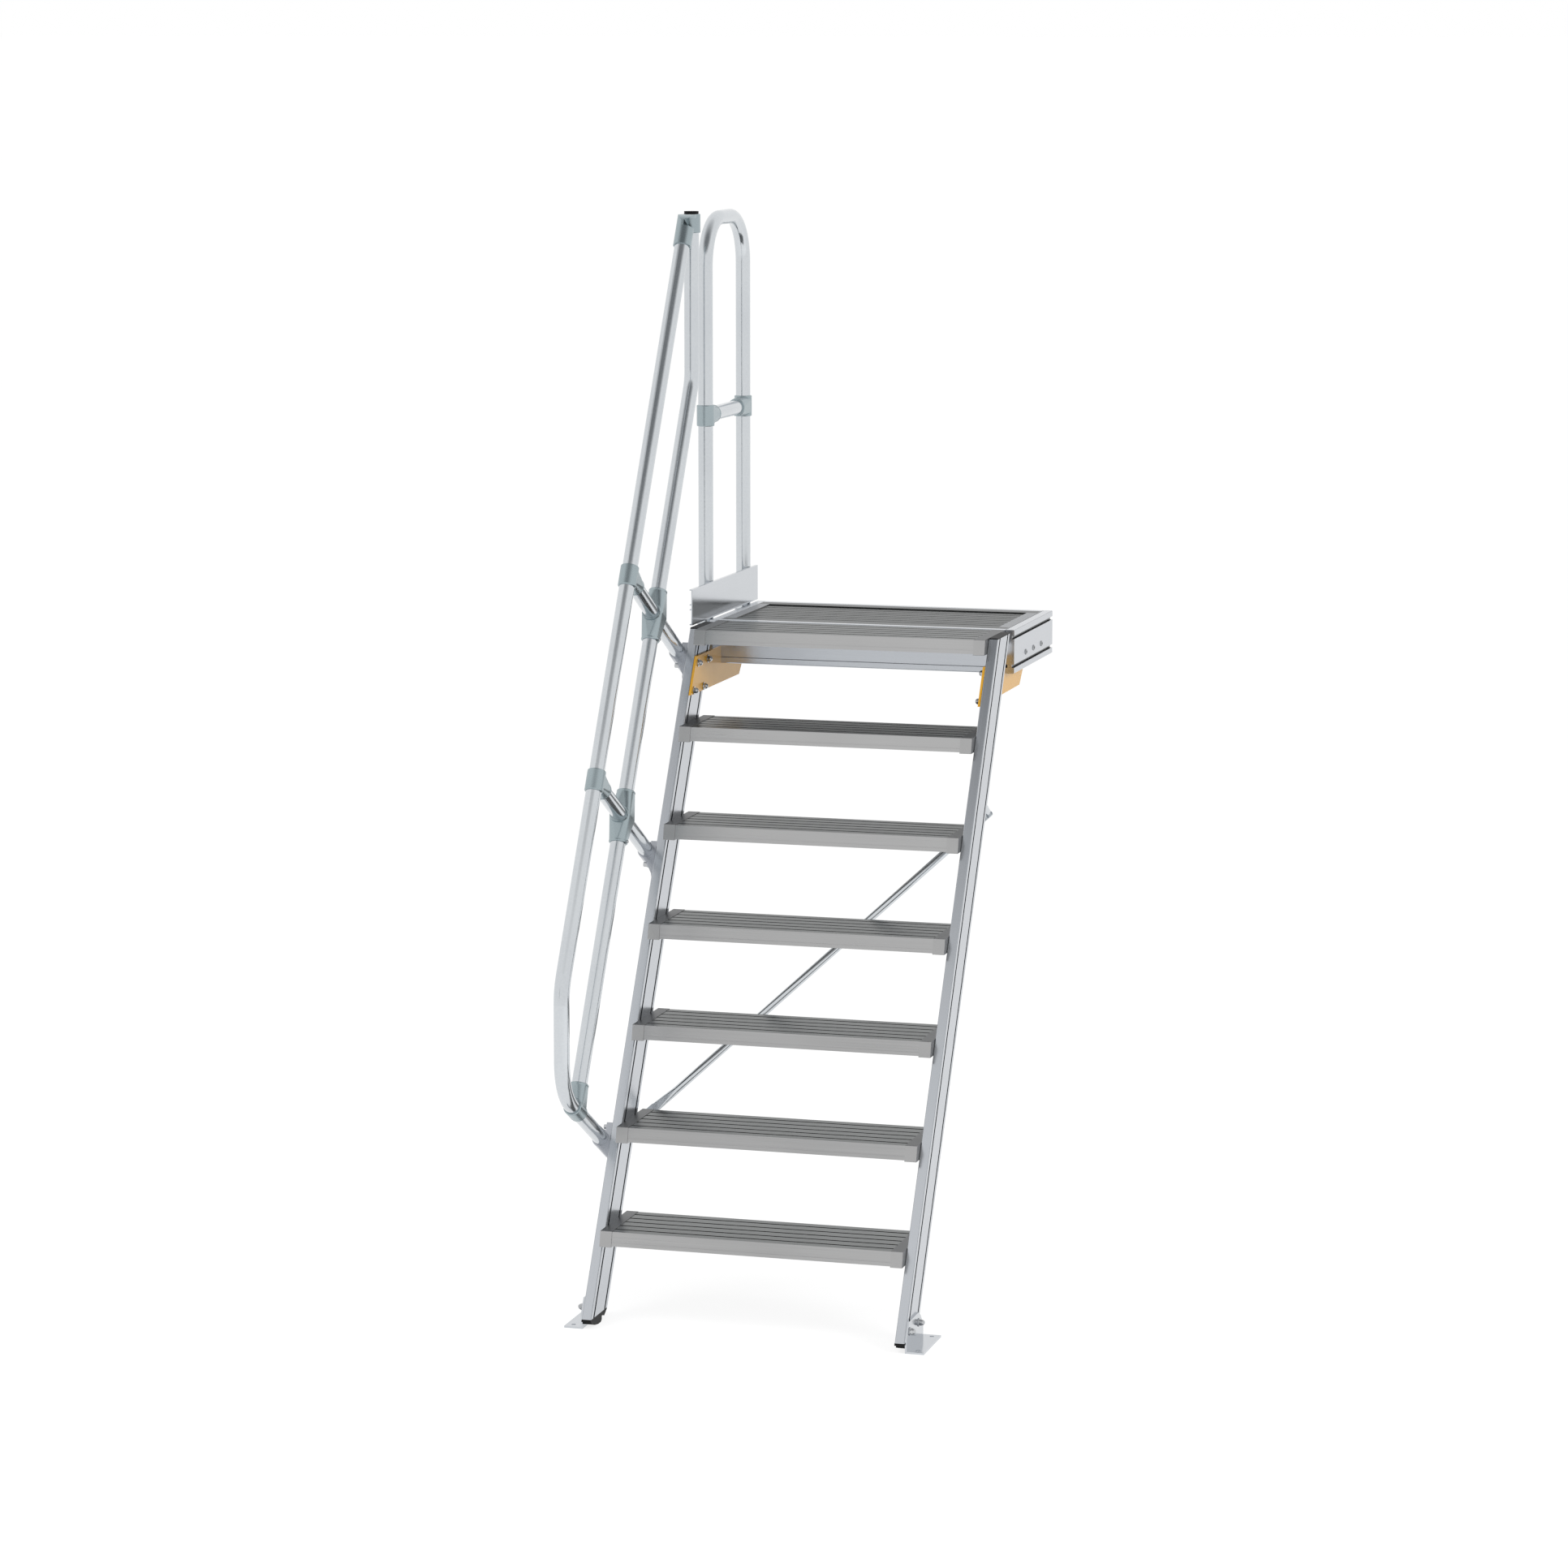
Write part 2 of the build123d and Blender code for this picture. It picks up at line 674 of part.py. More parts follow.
def cross_casting(position):
    """Casting on the knee rail with a squarish middle, round mouths and a short neck each way."""
    origin = slope_point(position, knee_rail_across, rail_x)
    width = 2 * cross_half_width
    neck_width = width - casting_edge
    body = None
    for direction in (along, along * -1):
        plane = Plane(origin=origin, x_dir=(1, 0, 0), z_dir=direction)
        half = blend(plane, cross_reach - collar_length / 2, (width, width))
        half += collar(origin, direction, cross_reach)
        body = half if body is None else body + half
    for direction in (across, across * -1):
        plane = Plane(origin=origin, x_dir=(1, 0, 0), z_dir=direction)
        body += blend(plane, cross_branch_reach, (neck_width, neck_width))
    body -= rod(origin - along * cross_reach, origin + along * cross_reach, rail_bore)
    for direction in (across, across * -1):
        body -= branch_bore(origin, direction, cross_reach)
    return body


nodes["tee_fittings"] = [rail_tee(upper_post_position), rail_tee(middle_post_position)]
nodes["cross_fittings"] = [cross_casting(upper_post_position), cross_casting(middle_post_position)]

# Lower joint: the same tee on the lowest post, its branch takes the foot of the knee rail
nodes["lower_joint_fitting"] = tee_casting(
    Plane(origin=slope_point(lower_post_position, knee_rail_across, rail_x), x_dir=along, z_dir=across))


def top_elbow():
    """Sleeve on the rail's end whose outer half runs on as a cheek to the sleeve on the upright."""
    start = rail_end - along * elbow_length
    far = rail_end + along * (elbow_reach + elbow_rise + sleeve_radius)
    front_across = top_rail_across - sleeve_radius
    start_position = rail_end_position - elbow_length
    outline = [
        slope_point(start_position - 1, front_across - 1),
        slope_point(start_position - 1, top_rail_across + sleeve_radius + 1),
        Vector(0, upper_upright_y, slope_point(start_position, top_rail_across).Z),
        Vector(0, upper_upright_y, upright_top),
        Vector(0, slope_y(front_across - 1, upright_top), upright_top),
    ]
    face = make_face(Polyline(*[(point.Y, point.Z) for point in outline], close=True))
    corner = face.vertices().sort_by_distance((outline[-1].Y, outline[-1].Z, 0))[0]
    face = fillet(corner, elbow_round)
    side_plane = Plane(origin=(rail_x - 2 * sleeve_radius, 0, 0), x_dir=(0, 1, 0), z_dir=(1, 0, 0))
    cheek = rod(start, far, sleeve_radius) & extrude(side_plane * face, 4 * sleeve_radius)
    open_plane = Plane(origin=rail_end + along * slip_fit, x_dir=(1, 0, 0), z_dir=along)
    opening = extrude(open_plane * Rectangle(4 * sleeve_radius, 4 * sleeve_radius), elbow_reach + elbow_rise)
    opening &= block((rail_x, rail_x + 2 * sleeve_radius), (-reach_far, reach_far),
                     (0, upright_top - elbow_bridge))
    cheek -= opening
    pocket = rod(start - along, rail_end + along * elbow_pocket, rail_bore)
    pocket &= block((rail_x - 2 * sleeve_radius, rail_x + 2 * sleeve_radius), (-reach_far, reach_far),
                    (0, upright_top - elbow_bridge))
    upright_low = Vector(rail_x, upper_upright_y, upright_top - elbow_sleeve_length)
    upright_high = Vector(rail_x, upper_upright_y, upright_top)
    body = cheek + soft_rod(upright_low, upright_high, sleeve_radius) - pocket
    return body - rod(upright_low, upright_high, rail_bore)


nodes["top_elbow_fitting"] = top_elbow()
nodes["upright_plug"] = rod((rail_x, upper_upright_y, upright_top),
                            (rail_x, upper_upright_y, upright_top + plug_height), rail_radius - plug_inset)


# Sockets: a web on the stringer's outer face that carries a sleeve for the post
def socket(plane, front, rear, outline, bolt_seats):
    """Casting in a plane whose x points outwards and whose z runs down the sleeve."""
    body = extrude(plane.offset(front) * make_face(Polyline(*outline, close=True)), rear - front)
    axis = [plane.from_local_coords((rail_outset, 0, depth)) for depth in (front, rear)]
    body += soft_rod(*axis, sleeve_radius)
    seat_radius = socket_bolt_diameter / 2 + socket_bolt_room
    for seat in bolt_seats:
        foot_of_seat = seat - plane.x_dir * plane.to_local_coords(seat).X
        body += rod(foot_of_seat, seat, seat_radius)
        body -= rod(seat, seat + plane.x_dir * rail_outset, seat_radius)
    return body - rod(*axis, rail_bore)


def socket_outline(upper, lower, knee):
    """Web between the stringer's face and the sleeve; knee lists the points of its lower side."""
    shoulder = math.sqrt(sleeve_radius ** 2 - (rail_outset - socket_flange_reach) ** 2)
    touch = sleeve_radius * 0.95
    points = [(0, -lower)] + knee
    points += [
        (rail_outset + touch * math.sin(math.radians(90 - slope_angle) / 2), -touch),
        (rail_outset, 0),
        (socket_flange_reach, shoulder),
        (socket_flange_reach, upper),
        (0, upper),
    ]
    return points


def socket_bolt(seat, direction):
    return rod(seat, seat + direction * socket_bolt_height, socket_bolt_diameter / 2)


outward = Vector(-1, 0, 0)
knee_seat = (socket_knee_reach + 1, -socket_knee_drop)
low_seat = (socket_flange_reach, low_socket_upper - socket_bolt_margin)
common_outline = socket_outline(socket_upper, socket_lower, [(socket_knee_reach, -socket_knee_drop)])
low_outline = socket_outline(low_socket_upper, low_socket_lower, [])
stringer_sockets = []
stringer_socket_bolts = []
for position, outline, seat_place in (
    (upper_post_position, common_outline, knee_seat),
    (middle_post_position, common_outline, knee_seat),
    (lower_post_position, low_outline, low_seat),
):
    plane = Plane(origin=slope_point(position, 0, -outer_x), x_dir=outward, z_dir=across)
    seats = [plane.from_local_coords((*seat_place, depth)) for depth in slot_depths]
    stringer_sockets.append(socket(plane, socket_front, socket_rear, outline, seats))
    stringer_socket_bolts += [socket_bolt(seat, outward) for seat in seats]
nodes["stringer_sockets"] = stringer_sockets
nodes["stringer_socket_bolts"] = stringer_socket_bolts

# Guard hoop with its bar, fittings and sockets
hoop_front = platform_front + hoop_front_setback
hoop_rear = platform_rear - hoop_rear_setback
hoop_crown = platform_level + hoop_top_above - rail_radius
hoop_foot = platform_level - hoop_tube_low_below
hoop_points = [
    Vector(rail_x, hoop_front, hoop_foot),
    Vector(rail_x, hoop_front, hoop_crown),
    Vector(rail_x, hoop_rear, hoop_crown),
    Vector(rail_x, hoop_rear, hoop_foot),
]
nodes["guard_hoop_tube"] = bent_tube(hoop_points, hoop_bend_radius, rail_radius, rail_wall)
hoop_bar_level = platform_level + hoop_bar_above
nodes["guard_hoop_bar"] = bored_rod((rail_x, hoop_front + tube_gap, hoop_bar_level),
                                    (rail_x, hoop_rear - tube_gap, hoop_bar_level), rail_radius,
                                    rail_radius - rail_wall)
nodes["guard_hoop_fittings"] = [
    tee_casting(Plane(origin=(rail_x, y, hoop_bar_level), x_dir=(0, direction, 0), z_dir=(0, 0, 1)))
    for y, direction in ((hoop_front, 1), (hoop_rear, -1))
]
hoop_sockets = []
hoop_socket_bolts = []
for y in (hoop_front, hoop_rear):
    plane = Plane(origin=(-outer_x, y, platform_level), x_dir=outward, z_dir=(0, 0, -1))
    seats = [plane.from_local_coords((*knee_seat, profile_depth - slot_inset))]
    hoop_sockets.append(socket(plane, hoop_socket_high_below, hoop_socket_low_below, common_outline, seats))
    hoop_socket_bolts += [socket_bolt(seat, outward) for seat in seats]
nodes["guard_hoop_sockets"] = hoop_sockets
nodes["guard_hoop_socket_bolts"] = hoop_socket_bolts

# Diagonal brace: a tube that tapers to flattened ends, across the backs of the stringers
tread_rear_bottom = (tread_depth * math.sin(angle) + nose_line
                     + (cap_proud + plank_height + cap_drop) * math.cos(angle))
brace_across = tread_rear_bottom + brace_gap + brace_flat_thickness / 2
brace_start = slope_point(brace_low, brace_across, -stringer_x)
brace_end = slope_point(flight_length - brace_high_below, brace_across, stringer_x)
brace_line = (brace_end - brace_start).normalized()
brace_lift = across * (brace_diameter / 2 - brace_flat_thickness / 2)
tube_setback = brace_flat_length + brace_taper_length
brace = rod(brace_start + brace_line * tube_setback + brace_lift,
            brace_end - brace_line * tube_setback + brace_lift, brace_diameter / 2)
for point, direction in ((brace_start, brace_line), (brace_end, brace_line * -1)):
    flat_middle = (brace_flat_length - brace_flat_end) / 2
    flat_plane = Plane(origin=point + direction * flat_middle, x_dir=direction, z_dir=across)
    outline = RectangleRounded(brace_flat_length + brace_flat_end, brace_flat_width, brace_flat_corner)
    brace += extrude(flat_plane * outline, brace_flat_thickness / 2, both=True)
    near_plane = Plane(origin=point + direction * (brace_flat_length - brace_flat_corner), x_dir=across,
                       z_dir=direction)
    far_plane = Plane(origin=point + direction * tube_setback + brace_lift, x_dir=across, z_dir=direction)
    near = RectangleRounded(brace_flat_thickness, brace_flat_width, brace_flat_thickness * 0.4)
    far = RectangleRounded(brace_diameter, brace_diameter, brace_diameter / 2 - collar_flat)
    brace += loft([near_plane * near, far_plane * far], ruled=True)
nodes["diagonal_brace"] = brace
nodes["diagonal_brace_spacers"] = [
    rod(point - across * (brace_across - stringer_rear), point - across * (brace_flat_thickness / 2),
        brace_diameter / 2)
    for point in (brace_start, brace_end)
]
nodes["diagonal_brace_screws"] = [
    rod(point + across * (brace_flat_thickness / 2),
        point + across * (brace_flat_thickness / 2 + brace_screw_height), brace_screw_diameter / 2)
    for point in (brace_start, brace_end)
]

# Every piece moves to the middle of the rear beam's wall face and is written out
to_wall_face = Location((0, -platform_rear, -beam_middle))
for name, shape in nodes.items():
    pieces = shape if isinstance(shape, list) else [shape]
    solids = [solid for piece in pieces for solid in piece.solids()]
    body = solids[0] if len(solids) == 1 else Compound(children=solids)
    export_step(body.moved(to_wall_face), f"parts/{name}.step")
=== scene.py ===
"""Dresses the platform stair: finishes for its parts, small fittings, studio and camera."""

import math

import bmesh
import bpy
from bpy.props import FloatProperty, FloatVectorProperty, PointerProperty, StringProperty
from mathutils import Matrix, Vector


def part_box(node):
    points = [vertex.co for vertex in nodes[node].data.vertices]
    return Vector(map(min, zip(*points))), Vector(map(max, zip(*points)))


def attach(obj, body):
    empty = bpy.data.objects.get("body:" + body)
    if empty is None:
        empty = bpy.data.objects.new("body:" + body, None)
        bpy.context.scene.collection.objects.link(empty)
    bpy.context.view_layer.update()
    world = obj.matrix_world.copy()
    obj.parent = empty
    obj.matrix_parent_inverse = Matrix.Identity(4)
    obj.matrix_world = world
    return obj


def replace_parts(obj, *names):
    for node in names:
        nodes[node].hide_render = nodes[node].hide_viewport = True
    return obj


bl_info = {
    "name": "Platform stair",
    "version": (1, 0, 0),
    "blender": (4, 5, 0),
    "location": "3D View > Sidebar > Stair",
    "description": "Finishes and small fittings of an aluminium platform stair",
    "category": "Object",
}

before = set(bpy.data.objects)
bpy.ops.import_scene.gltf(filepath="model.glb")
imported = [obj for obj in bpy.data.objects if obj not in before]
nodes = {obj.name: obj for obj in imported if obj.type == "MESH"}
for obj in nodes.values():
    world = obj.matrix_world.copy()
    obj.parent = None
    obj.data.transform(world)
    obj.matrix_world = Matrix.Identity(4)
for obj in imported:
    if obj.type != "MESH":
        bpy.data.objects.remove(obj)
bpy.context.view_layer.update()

BODY = "root"
SLOPE = math.radians(60.0)
CASTING_SLEEVE_RADIUS = 0.0235
SLOT_LIP = 0.0018
FLOOR_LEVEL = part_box("stringer_feet")[0].z
TREADS = [f"tread_{index}" for index in range(1, 7)] + ["platform_front_tread"]

SCREW_SIDES = 24
BEAM_SCREW_COUNT = 3
FITTING_TURN_SEED = 3
MERGE_DISTANCE = 1e-6
PLACE_DIGITS = 4

# Studio: each lamp's place and power in watts, and each flag's middle, reach to the right and
# upwards, tone, and the share of its reach over which its edge fades
LAMP_SIZE = 3.0
LAMP_AIM = (0.0, -0.6, 0.0)
LAMPS = {
    "key_light": ((-3.5, -4.5, 4.5), 80.0),
    "side_light": ((5.5, -3.0, 2.5), 145.0),
}
FLAGS = {
    "overhead_flag": ((0.0, -2.2, 3.2), (3.1, 0.0, 0.0), (0.0, 3.1, 0.0), "#888a8c", 0.66),
    "front_flag": ((-1.62, -7.0, 0.3), (0.55, 0.0, 0.0), (0.0, 0.0, 1.05), "#85878a", 0.6),
}
FLOOR_ALBEDO = 0.8
FLOOR_GLOW = 1.35
FLOOR_GLOW_SHARE = 0.6
SENSOR_WIDTH = 36.0
VIEW_END = 2500.0

# Turns that bring a pattern's long Z axis into line with a bar
UPRIGHT = (0.0, 0.0, 0.0)
ALONG_SLOPE = (SLOPE - math.pi / 2, 0.0, 0.0)
ALONG_Y = (-math.pi / 2, 0.0, 0.0)
ALONG_X = (0.0, math.pi / 2, 0.0)

# Edge reflection of aluminium under a grown oxide skin, which stays dull at a grazing view
OXIDE_TINT = (0.6, 0.6, 0.6, 1.0)

# Noise values between which a finish goes from its darker tone to its lighter one, and from its
# lowest roughness to its highest
TONE_RANGE = (0.7, 1.3)
GRAIN_RANGE = (0.3, 0.7)
BUMP_STRENGTH = 0.3

# Upward part of the normal between which a side becomes a top, how far an upright wall leans, and
# the part of the normal that makes a face count as facing forward or sideways
TOP_RANGE = (0.4, 0.8)
UPRIGHT_TOLERANCE = 0.1
FACING_PART = 0.5


# Colours and node helpers

def linear(hex_colour):
    """sRGB hex colour as the linear RGBA that shaders take."""
    text = hex_colour.lstrip("#")
    channels = [int(text[index:index + 2], 16) / 255 for index in (0, 2, 4)]
    rgb = [c / 12.92 if c <= 0.04045 else ((c + 0.055) / 1.055) ** 2.4 for c in channels]
    return (*rgb, 1.0)


def add_node(tree, kind, inputs=None, **settings):
    """Adds a node; an input given as a socket is linked, and any other is its value."""
    node = tree.nodes.new(kind)
    for name, value in settings.items():
        setattr(node, name, value)
    for key, value in (inputs or {}).items():
        if isinstance(value, bpy.types.NodeSocket):
            tree.links.new(value, node.inputs[key])
        else:
            node.inputs[key].default_value = value
    return node


def new_material(name):
    """Empty node material with its output and the Object coordinates."""
    material = bpy.data.materials.new(name)
    material.use_nodes = True
    tree = material.node_tree
    tree.nodes.clear()
    output = add_node(tree, "ShaderNodeOutputMaterial")
    coordinates = add_node(tree, "ShaderNodeTexCoord").outputs["Object"]
    return material, tree, output, coordinates


def groove_shade_mask(tree, facing):
    """1 on upright walls that face the foot of the stair, as the walls of tread grooves do; it places painted
    shade.
    """
    upright = add_node(tree, "ShaderNodeMath", {0: facing["Z"], 1: 0.0, 2: UPRIGHT_TOLERANCE},
                       operation="COMPARE")
    forward = add_node(tree, "ShaderNodeMath", {0: facing["Y"], 1: -FACING_PART}, operation="LESS_THAN")
    wall = add_node(tree, "ShaderNodeMath", {0: upright.outputs[0], 1: forward.outputs[0]},
                    operation="MULTIPLY")
    return wall.outputs[0]


def slot_shade_mask(tree, coordinates, facing, nearest, farthest):
    """1 on faces that look along X and lie between two distances from the middle of the stair; it places
    painted shade on the bottoms of slots.
    """
    place = add_node(tree, "ShaderNodeSeparateXYZ", {"Vector": coordinates}).outputs
    out = add_node(tree, "ShaderNodeMath", {0: place["X"]}, operation="ABSOLUTE")
    sunk = add_node(tree, "ShaderNodeMath",
                    {0: out.outputs[0], 1: (nearest + farthest) / 2, 2: (farthest - nearest) / 2},
                    operation="COMPARE")
    along_x = add_node(tree, "ShaderNodeMath", {0: facing["X"]}, operation="ABSOLUTE")
    sideways = add_node(tree, "ShaderNodeMath", {0: along_x.outputs[0], 1: FACING_PART},
                        operation="GREATER_THAN")
    bottom = add_node(tree, "ShaderNodeMath", {0: sunk.outputs[0], 1: sideways.outputs[0]},
                      operation="MULTIPLY")
    return bottom.outputs[0]


def node_finish(name, base, shade, marks, cloud, roughness, depth, metallic=1.0, turn=UPRIGHT,
                fixed=None, painted_side_tones=None, groove_shade=None, slots=None):
    """Material with fine marks and slow changes of tone, which also move its roughness and bump.

    The marks have a width and a length, and the cloud a size, all in metres. Roughness is a low
    and a high value, and depth is the height of the marks. Fixed holds further shader inputs.
    Faces that look sideways take the two colours of painted_side_tones, so that tops and sides of
    one metal differ as painted light and shade, and forward walls that stand upright take
    groove_shade, a painted shade colour. Slots gives a painted shade colour and the two distances
    from the middle of the stair between which faces that look along X lie at the bottom of a slot.
    """
    material, tree, output, coordinates = new_material(name)
    width, length = marks
    drawn_out = add_node(tree, "ShaderNodeMapping",
                         {"Vector": coordinates, "Rotation": turn, "Scale": (width, width, length)},
                         vector_type="TEXTURE")
    grain = add_node(tree, "ShaderNodeTexNoise",
                     {"Vector": drawn_out.outputs["Vector"], "Scale": 1.0, "Detail": 2.0}).outputs["Fac"]
    slow = add_node(tree, "ShaderNodeTexNoise",
                    {"Vector": coordinates, "Scale": 1 / cloud, "Detail": 1.0}).outputs["Fac"]
    both = add_node(tree, "ShaderNodeMath", {0: grain, 1: slow}, operation="ADD")
    tone = add_node(tree, "ShaderNodeMapRange",
                    {"Value": both.outputs[0], "From Min": TONE_RANGE[0],
                     "From Max": TONE_RANGE[1]}).outputs["Result"]
    colour = add_node(tree, "ShaderNodeMix", {"Factor": tone, 6: linear(shade), 7: linear(base)},
                      data_type="RGBA").outputs[2]
    normal = add_node(tree, "ShaderNodeNewGeometry").outputs["Normal"]
    facing = add_node(tree, "ShaderNodeSeparateXYZ", {"Vector": normal}).outputs
    # Painted light and shade: faces that look sideways take other tones than tops
    if painted_side_tones is not None:
        painted_side_colour = add_node(tree, "ShaderNodeMix",
                               {"Factor": tone, 6: linear(painted_side_tones[1]), 7: linear(painted_side_tones[0])},
                               data_type="RGBA").outputs[2]
        upward = add_node(tree, "ShaderNodeMapRange",
                          {"Value": facing["Z"], "From Min": TOP_RANGE[0],
                           "From Max": TOP_RANGE[1]}).outputs["Result"]
        colour = add_node(tree, "ShaderNodeMix", {"Factor": upward, 6: painted_side_colour, 7: colour},
                          data_type="RGBA").outputs[2]
    # Painted shade on upright walls that face forward, such as the walls of the grooves
    if groove_shade is not None:
        colour = add_node(tree, "ShaderNodeMix",
                          {"Factor": groove_shade_mask(tree, facing), 6: colour, 7: linear(groove_shade)},
                          data_type="RGBA").outputs[2]
    # Painted shade on the bottoms of the slots
    if slots is not None:
        slot_shade_colour, nearest, farthest = slots
        bottom = slot_shade_mask(tree, coordinates, facing, nearest, farthest)
        colour = add_node(tree, "ShaderNodeMix", {"Factor": bottom, 6: colour, 7: linear(slot_shade_colour)},
                          data_type="RGBA").outputs[2]
    rough = add_node(tree, "ShaderNodeMapRange",
                     {"Value": grain, "From Min": GRAIN_RANGE[0], "From Max": GRAIN_RANGE[1],
                      "To Min": roughness[0], "To Max": roughness[1]}).outputs["Result"]
    bump = add_node(tree, "ShaderNodeBump", {"Height": grain, "Strength": BUMP_STRENGTH, "Distance": depth})
    shader = add_node(tree, "ShaderNodeBsdfPrincipled",
                      {"Base Color": colour, "Metallic": metallic, "Roughness": rough,
                       "Normal": bump.outputs["Normal"]})
    for socket_name, value in (fixed or {}).items():
        shader.inputs[socket_name].default_value = value
    tree.links.new(shader.outputs["BSDF"], output.inputs["Surface"])
    return material


# Finishes

def anodised_profile(name, turn, base, shade, slots=None):
    """Extruded aluminium, satin anodised: an even soft sheen with hardly visible die lines along
    the bar, and slot bottoms painted nearly black as painted shade. Die lines are about 0.2 mm
    apart and are drawn 2 mm apart, so that they show."""
    return node_finish(name, base, shade, marks=(0.002, 1.6), cloud=0.35,
                       roughness=(0.2, 0.25), depth=0.000006, turn=turn, slots=slots)


def tread_extrusion(name, top, top_shade, front, front_shade, groove_shade_colour):
    """Mill-finish aluminium tread plank, dulled by pickling, with faint streaks of the die along the
    plank, drawn 3 mm wide. Its grooved top is painted darker than its nose as painted shade, and
    the walls of its grooves are painted dark as painted shade."""
    return node_finish(name, top, top_shade, marks=(0.003, 0.5), cloud=0.25,
                       roughness=(0.27, 0.33), depth=0.00001, turn=ALONG_X,
                       fixed={"Specular Tint": OXIDE_TINT}, painted_side_tones=(front, front_shade), groove_shade=groove_shade_colour)


def tread_cap_casting(name, top, top_shade, front, front_shade):
    """Die-cast aluminium end cap, tumbled: smooth and slightly duller than the plank, with its top
    and its front painted in different tones as painted light and shade. Its grain of 0.3 mm is
    drawn 1.5 mm wide."""
    return node_finish(name, top, top_shade, marks=(0.0015, 0.0015), cloud=0.08,
                       roughness=(0.34, 0.4), depth=0.00002,
                       fixed={"Specular Tint": OXIDE_TINT}, painted_side_tones=(front, front_shade))


def blasted_casting(name, base, shade):
    """Pressure die-cast aluminium, fine-blasted: a grey-green satin skin whose soft highlights
    follow the blended shapes. The 0.2 mm grit is drawn 1.2 mm wide."""
    return node_finish(name, base, shade, marks=(0.0012, 0.0012), cloud=0.09,
                       roughness=(0.26, 0.31), depth=0.00002)


def drawn_tube(name, base, shade):
    """Drawn and bright anodised aluminium tube: nearly a mirror, so that the studio shows in it
    as long streaks, with handling marks of about 6 mm that soften their edges."""
    return node_finish(name, base, shade, marks=(0.006, 0.006), cloud=0.2,
                       roughness=(0.13, 0.19), depth=0.00002)


def rolled_sheet(name, base, shade):
    """Cold-rolled aluminium sheet: smooth and bright with a rolling grain along its length. The
    grain of 0.1 mm is drawn 1.5 mm wide."""
    return node_finish(name, base, shade, marks=(0.0015, 0.6), cloud=0.3,
                       roughness=(0.12, 0.17), depth=0.000006, turn=ALONG_Y)


def ochre_coating(name, base, shade):
    """Ochre powder coating on steel: opaque and glossy with an orange peel of about 1.5 mm, so
    that it mirrors the pale studio where it is seen edge on."""
    return node_finish(name, base, shade, marks=(0.0015, 0.0015), cloud=0.1,
                       roughness=(0.2, 0.25), depth=0.000006,
                       metallic=0.0, fixed={"IOR": 1.52, "Specular IOR Level": 0.4})


def moulded_polyamide(name, base, shade):
    """Black injection-moulded polyamide: a matt spark texture that scatters the light, so that it
    stays black where it is seen edge on. The 0.2 mm texture is drawn 1 mm wide."""
    return node_finish(name, base, shade, marks=(0.001, 0.001), cloud=0.03,
                       roughness=(0.5, 0.6), depth=0.00005,
                       metallic=0.0, fixed={"IOR": 1.53, "Specular IOR Level": 0.15})


def turned_stainless(name, base, shade):
    """Turned stainless steel: bright, with turning marks that only soften its reflections. They
    are 0.1 mm apart and drawn 0.8 mm apart."""
    return node_finish(name, base, shade, marks=(0.0008, 0.0008), cloud=0.02,
                       roughness=(0.14, 0.22), depth=0.00001)


def paint(node_names, material):
    """Puts a finish on CAD nodes."""
    for name in node_names:
        for material_slot in nodes[name].material_slots:
            material_slot.material = material


# Small fittings

def loose_boxes(node_name):
    """Lowest and highest corner of each separate solid of a CAD node, sorted by their place, so
    that a fitting gets the same random turn in every run."""
    shape = bmesh.new()
    shape.from_mesh(nodes[node_name].data)
    bmesh.ops.remove_doubles(shape, verts=shape.verts, dist=MERGE_DISTANCE)
    left = set(shape.verts)
    boxes = []
    while left:
        front = [left.pop()]
        island = list(front)
        while front:
            vertex = front.pop()
            for edge in vertex.link_edges:
                other = edge.other_vert(vertex)
                if other in left:
                    left.remove(other)
                    front.append(other)
                    island.append(other)
        low = Vector([min(v.co[axis] for v in island) for axis in range(3)])
        high = Vector([max(v.co[axis] for v in island) for axis in range(3)])
        boxes.append((low, high))
    shape.free()
    boxes.sort(key=lambda box: [round(value, PLACE_DIGITS) for value in (*box[0], *box[1])])
    return boxes


def turned(rings):
    """Mesh of rings round Z, each a radius and a height, closed at both ends."""
    shape = bmesh.new()
    loops = []
    for radius, height in rings:
        loops.append([shape.verts.new((radius * math.cos(step * math.tau / SCREW_SIDES),
                                       radius * math.sin(step * math.tau / SCREW_SIDES), height))
                      for step in range(SCREW_SIDES)])
    for lower, upper in zip(loops, loops[1:]):
        for step in range(SCREW_SIDES):
            after = (step + 1) % SCREW_SIDES
            shape.faces.new((lower[step], lower[after], upper[after], upper[step]))
    shape.faces.new(list(reversed(loops[0])))
    shape.faces.new(loops[-1])
    return shape


def hexagon_ring(radius):
    """Distance from the middle to a hexagon's side, for each step round it."""
    side = radius * math.cos(math.pi / 6)
    return [side / math.cos((step * math.tau / SCREW_SIDES) % (math.pi / 3) - math.pi / 6)
            for step in range(SCREW_SIDES)]


def with_hexagons(shape, rings):
    """Bends chosen rings of a turned mesh to a hexagon; rings gives ring number and radius."""
    shape.verts.ensure_lookup_table()
    for number, radius in rings:
        reach = hexagon_ring(radius)
        for step in range(SCREW_SIDES):
            vertex = shape.verts[number * SCREW_SIDES + step]
            turn = step * math.tau / SCREW_SIDES
            vertex.co.x = reach[step] * math.cos(turn)
            vertex.co.y = reach[step] * math.sin(turn)


def finished_mesh(name, shape, smooth_angle=35.0):
    """Mesh from a bmesh, with smooth shading between faces that meet at a small angle."""
    bmesh.ops.recalc_face_normals(shape, faces=shape.faces)
    for face in shape.faces:
        face.smooth = True
    limit = math.radians(smooth_angle)
    for edge in shape.edges:
        edge.smooth = edge.is_manifold and edge.calc_face_angle(0.0) < limit
    mesh = bpy.data.meshes.new(name)
    shape.to_mesh(mesh)
    shape.free()
    return mesh


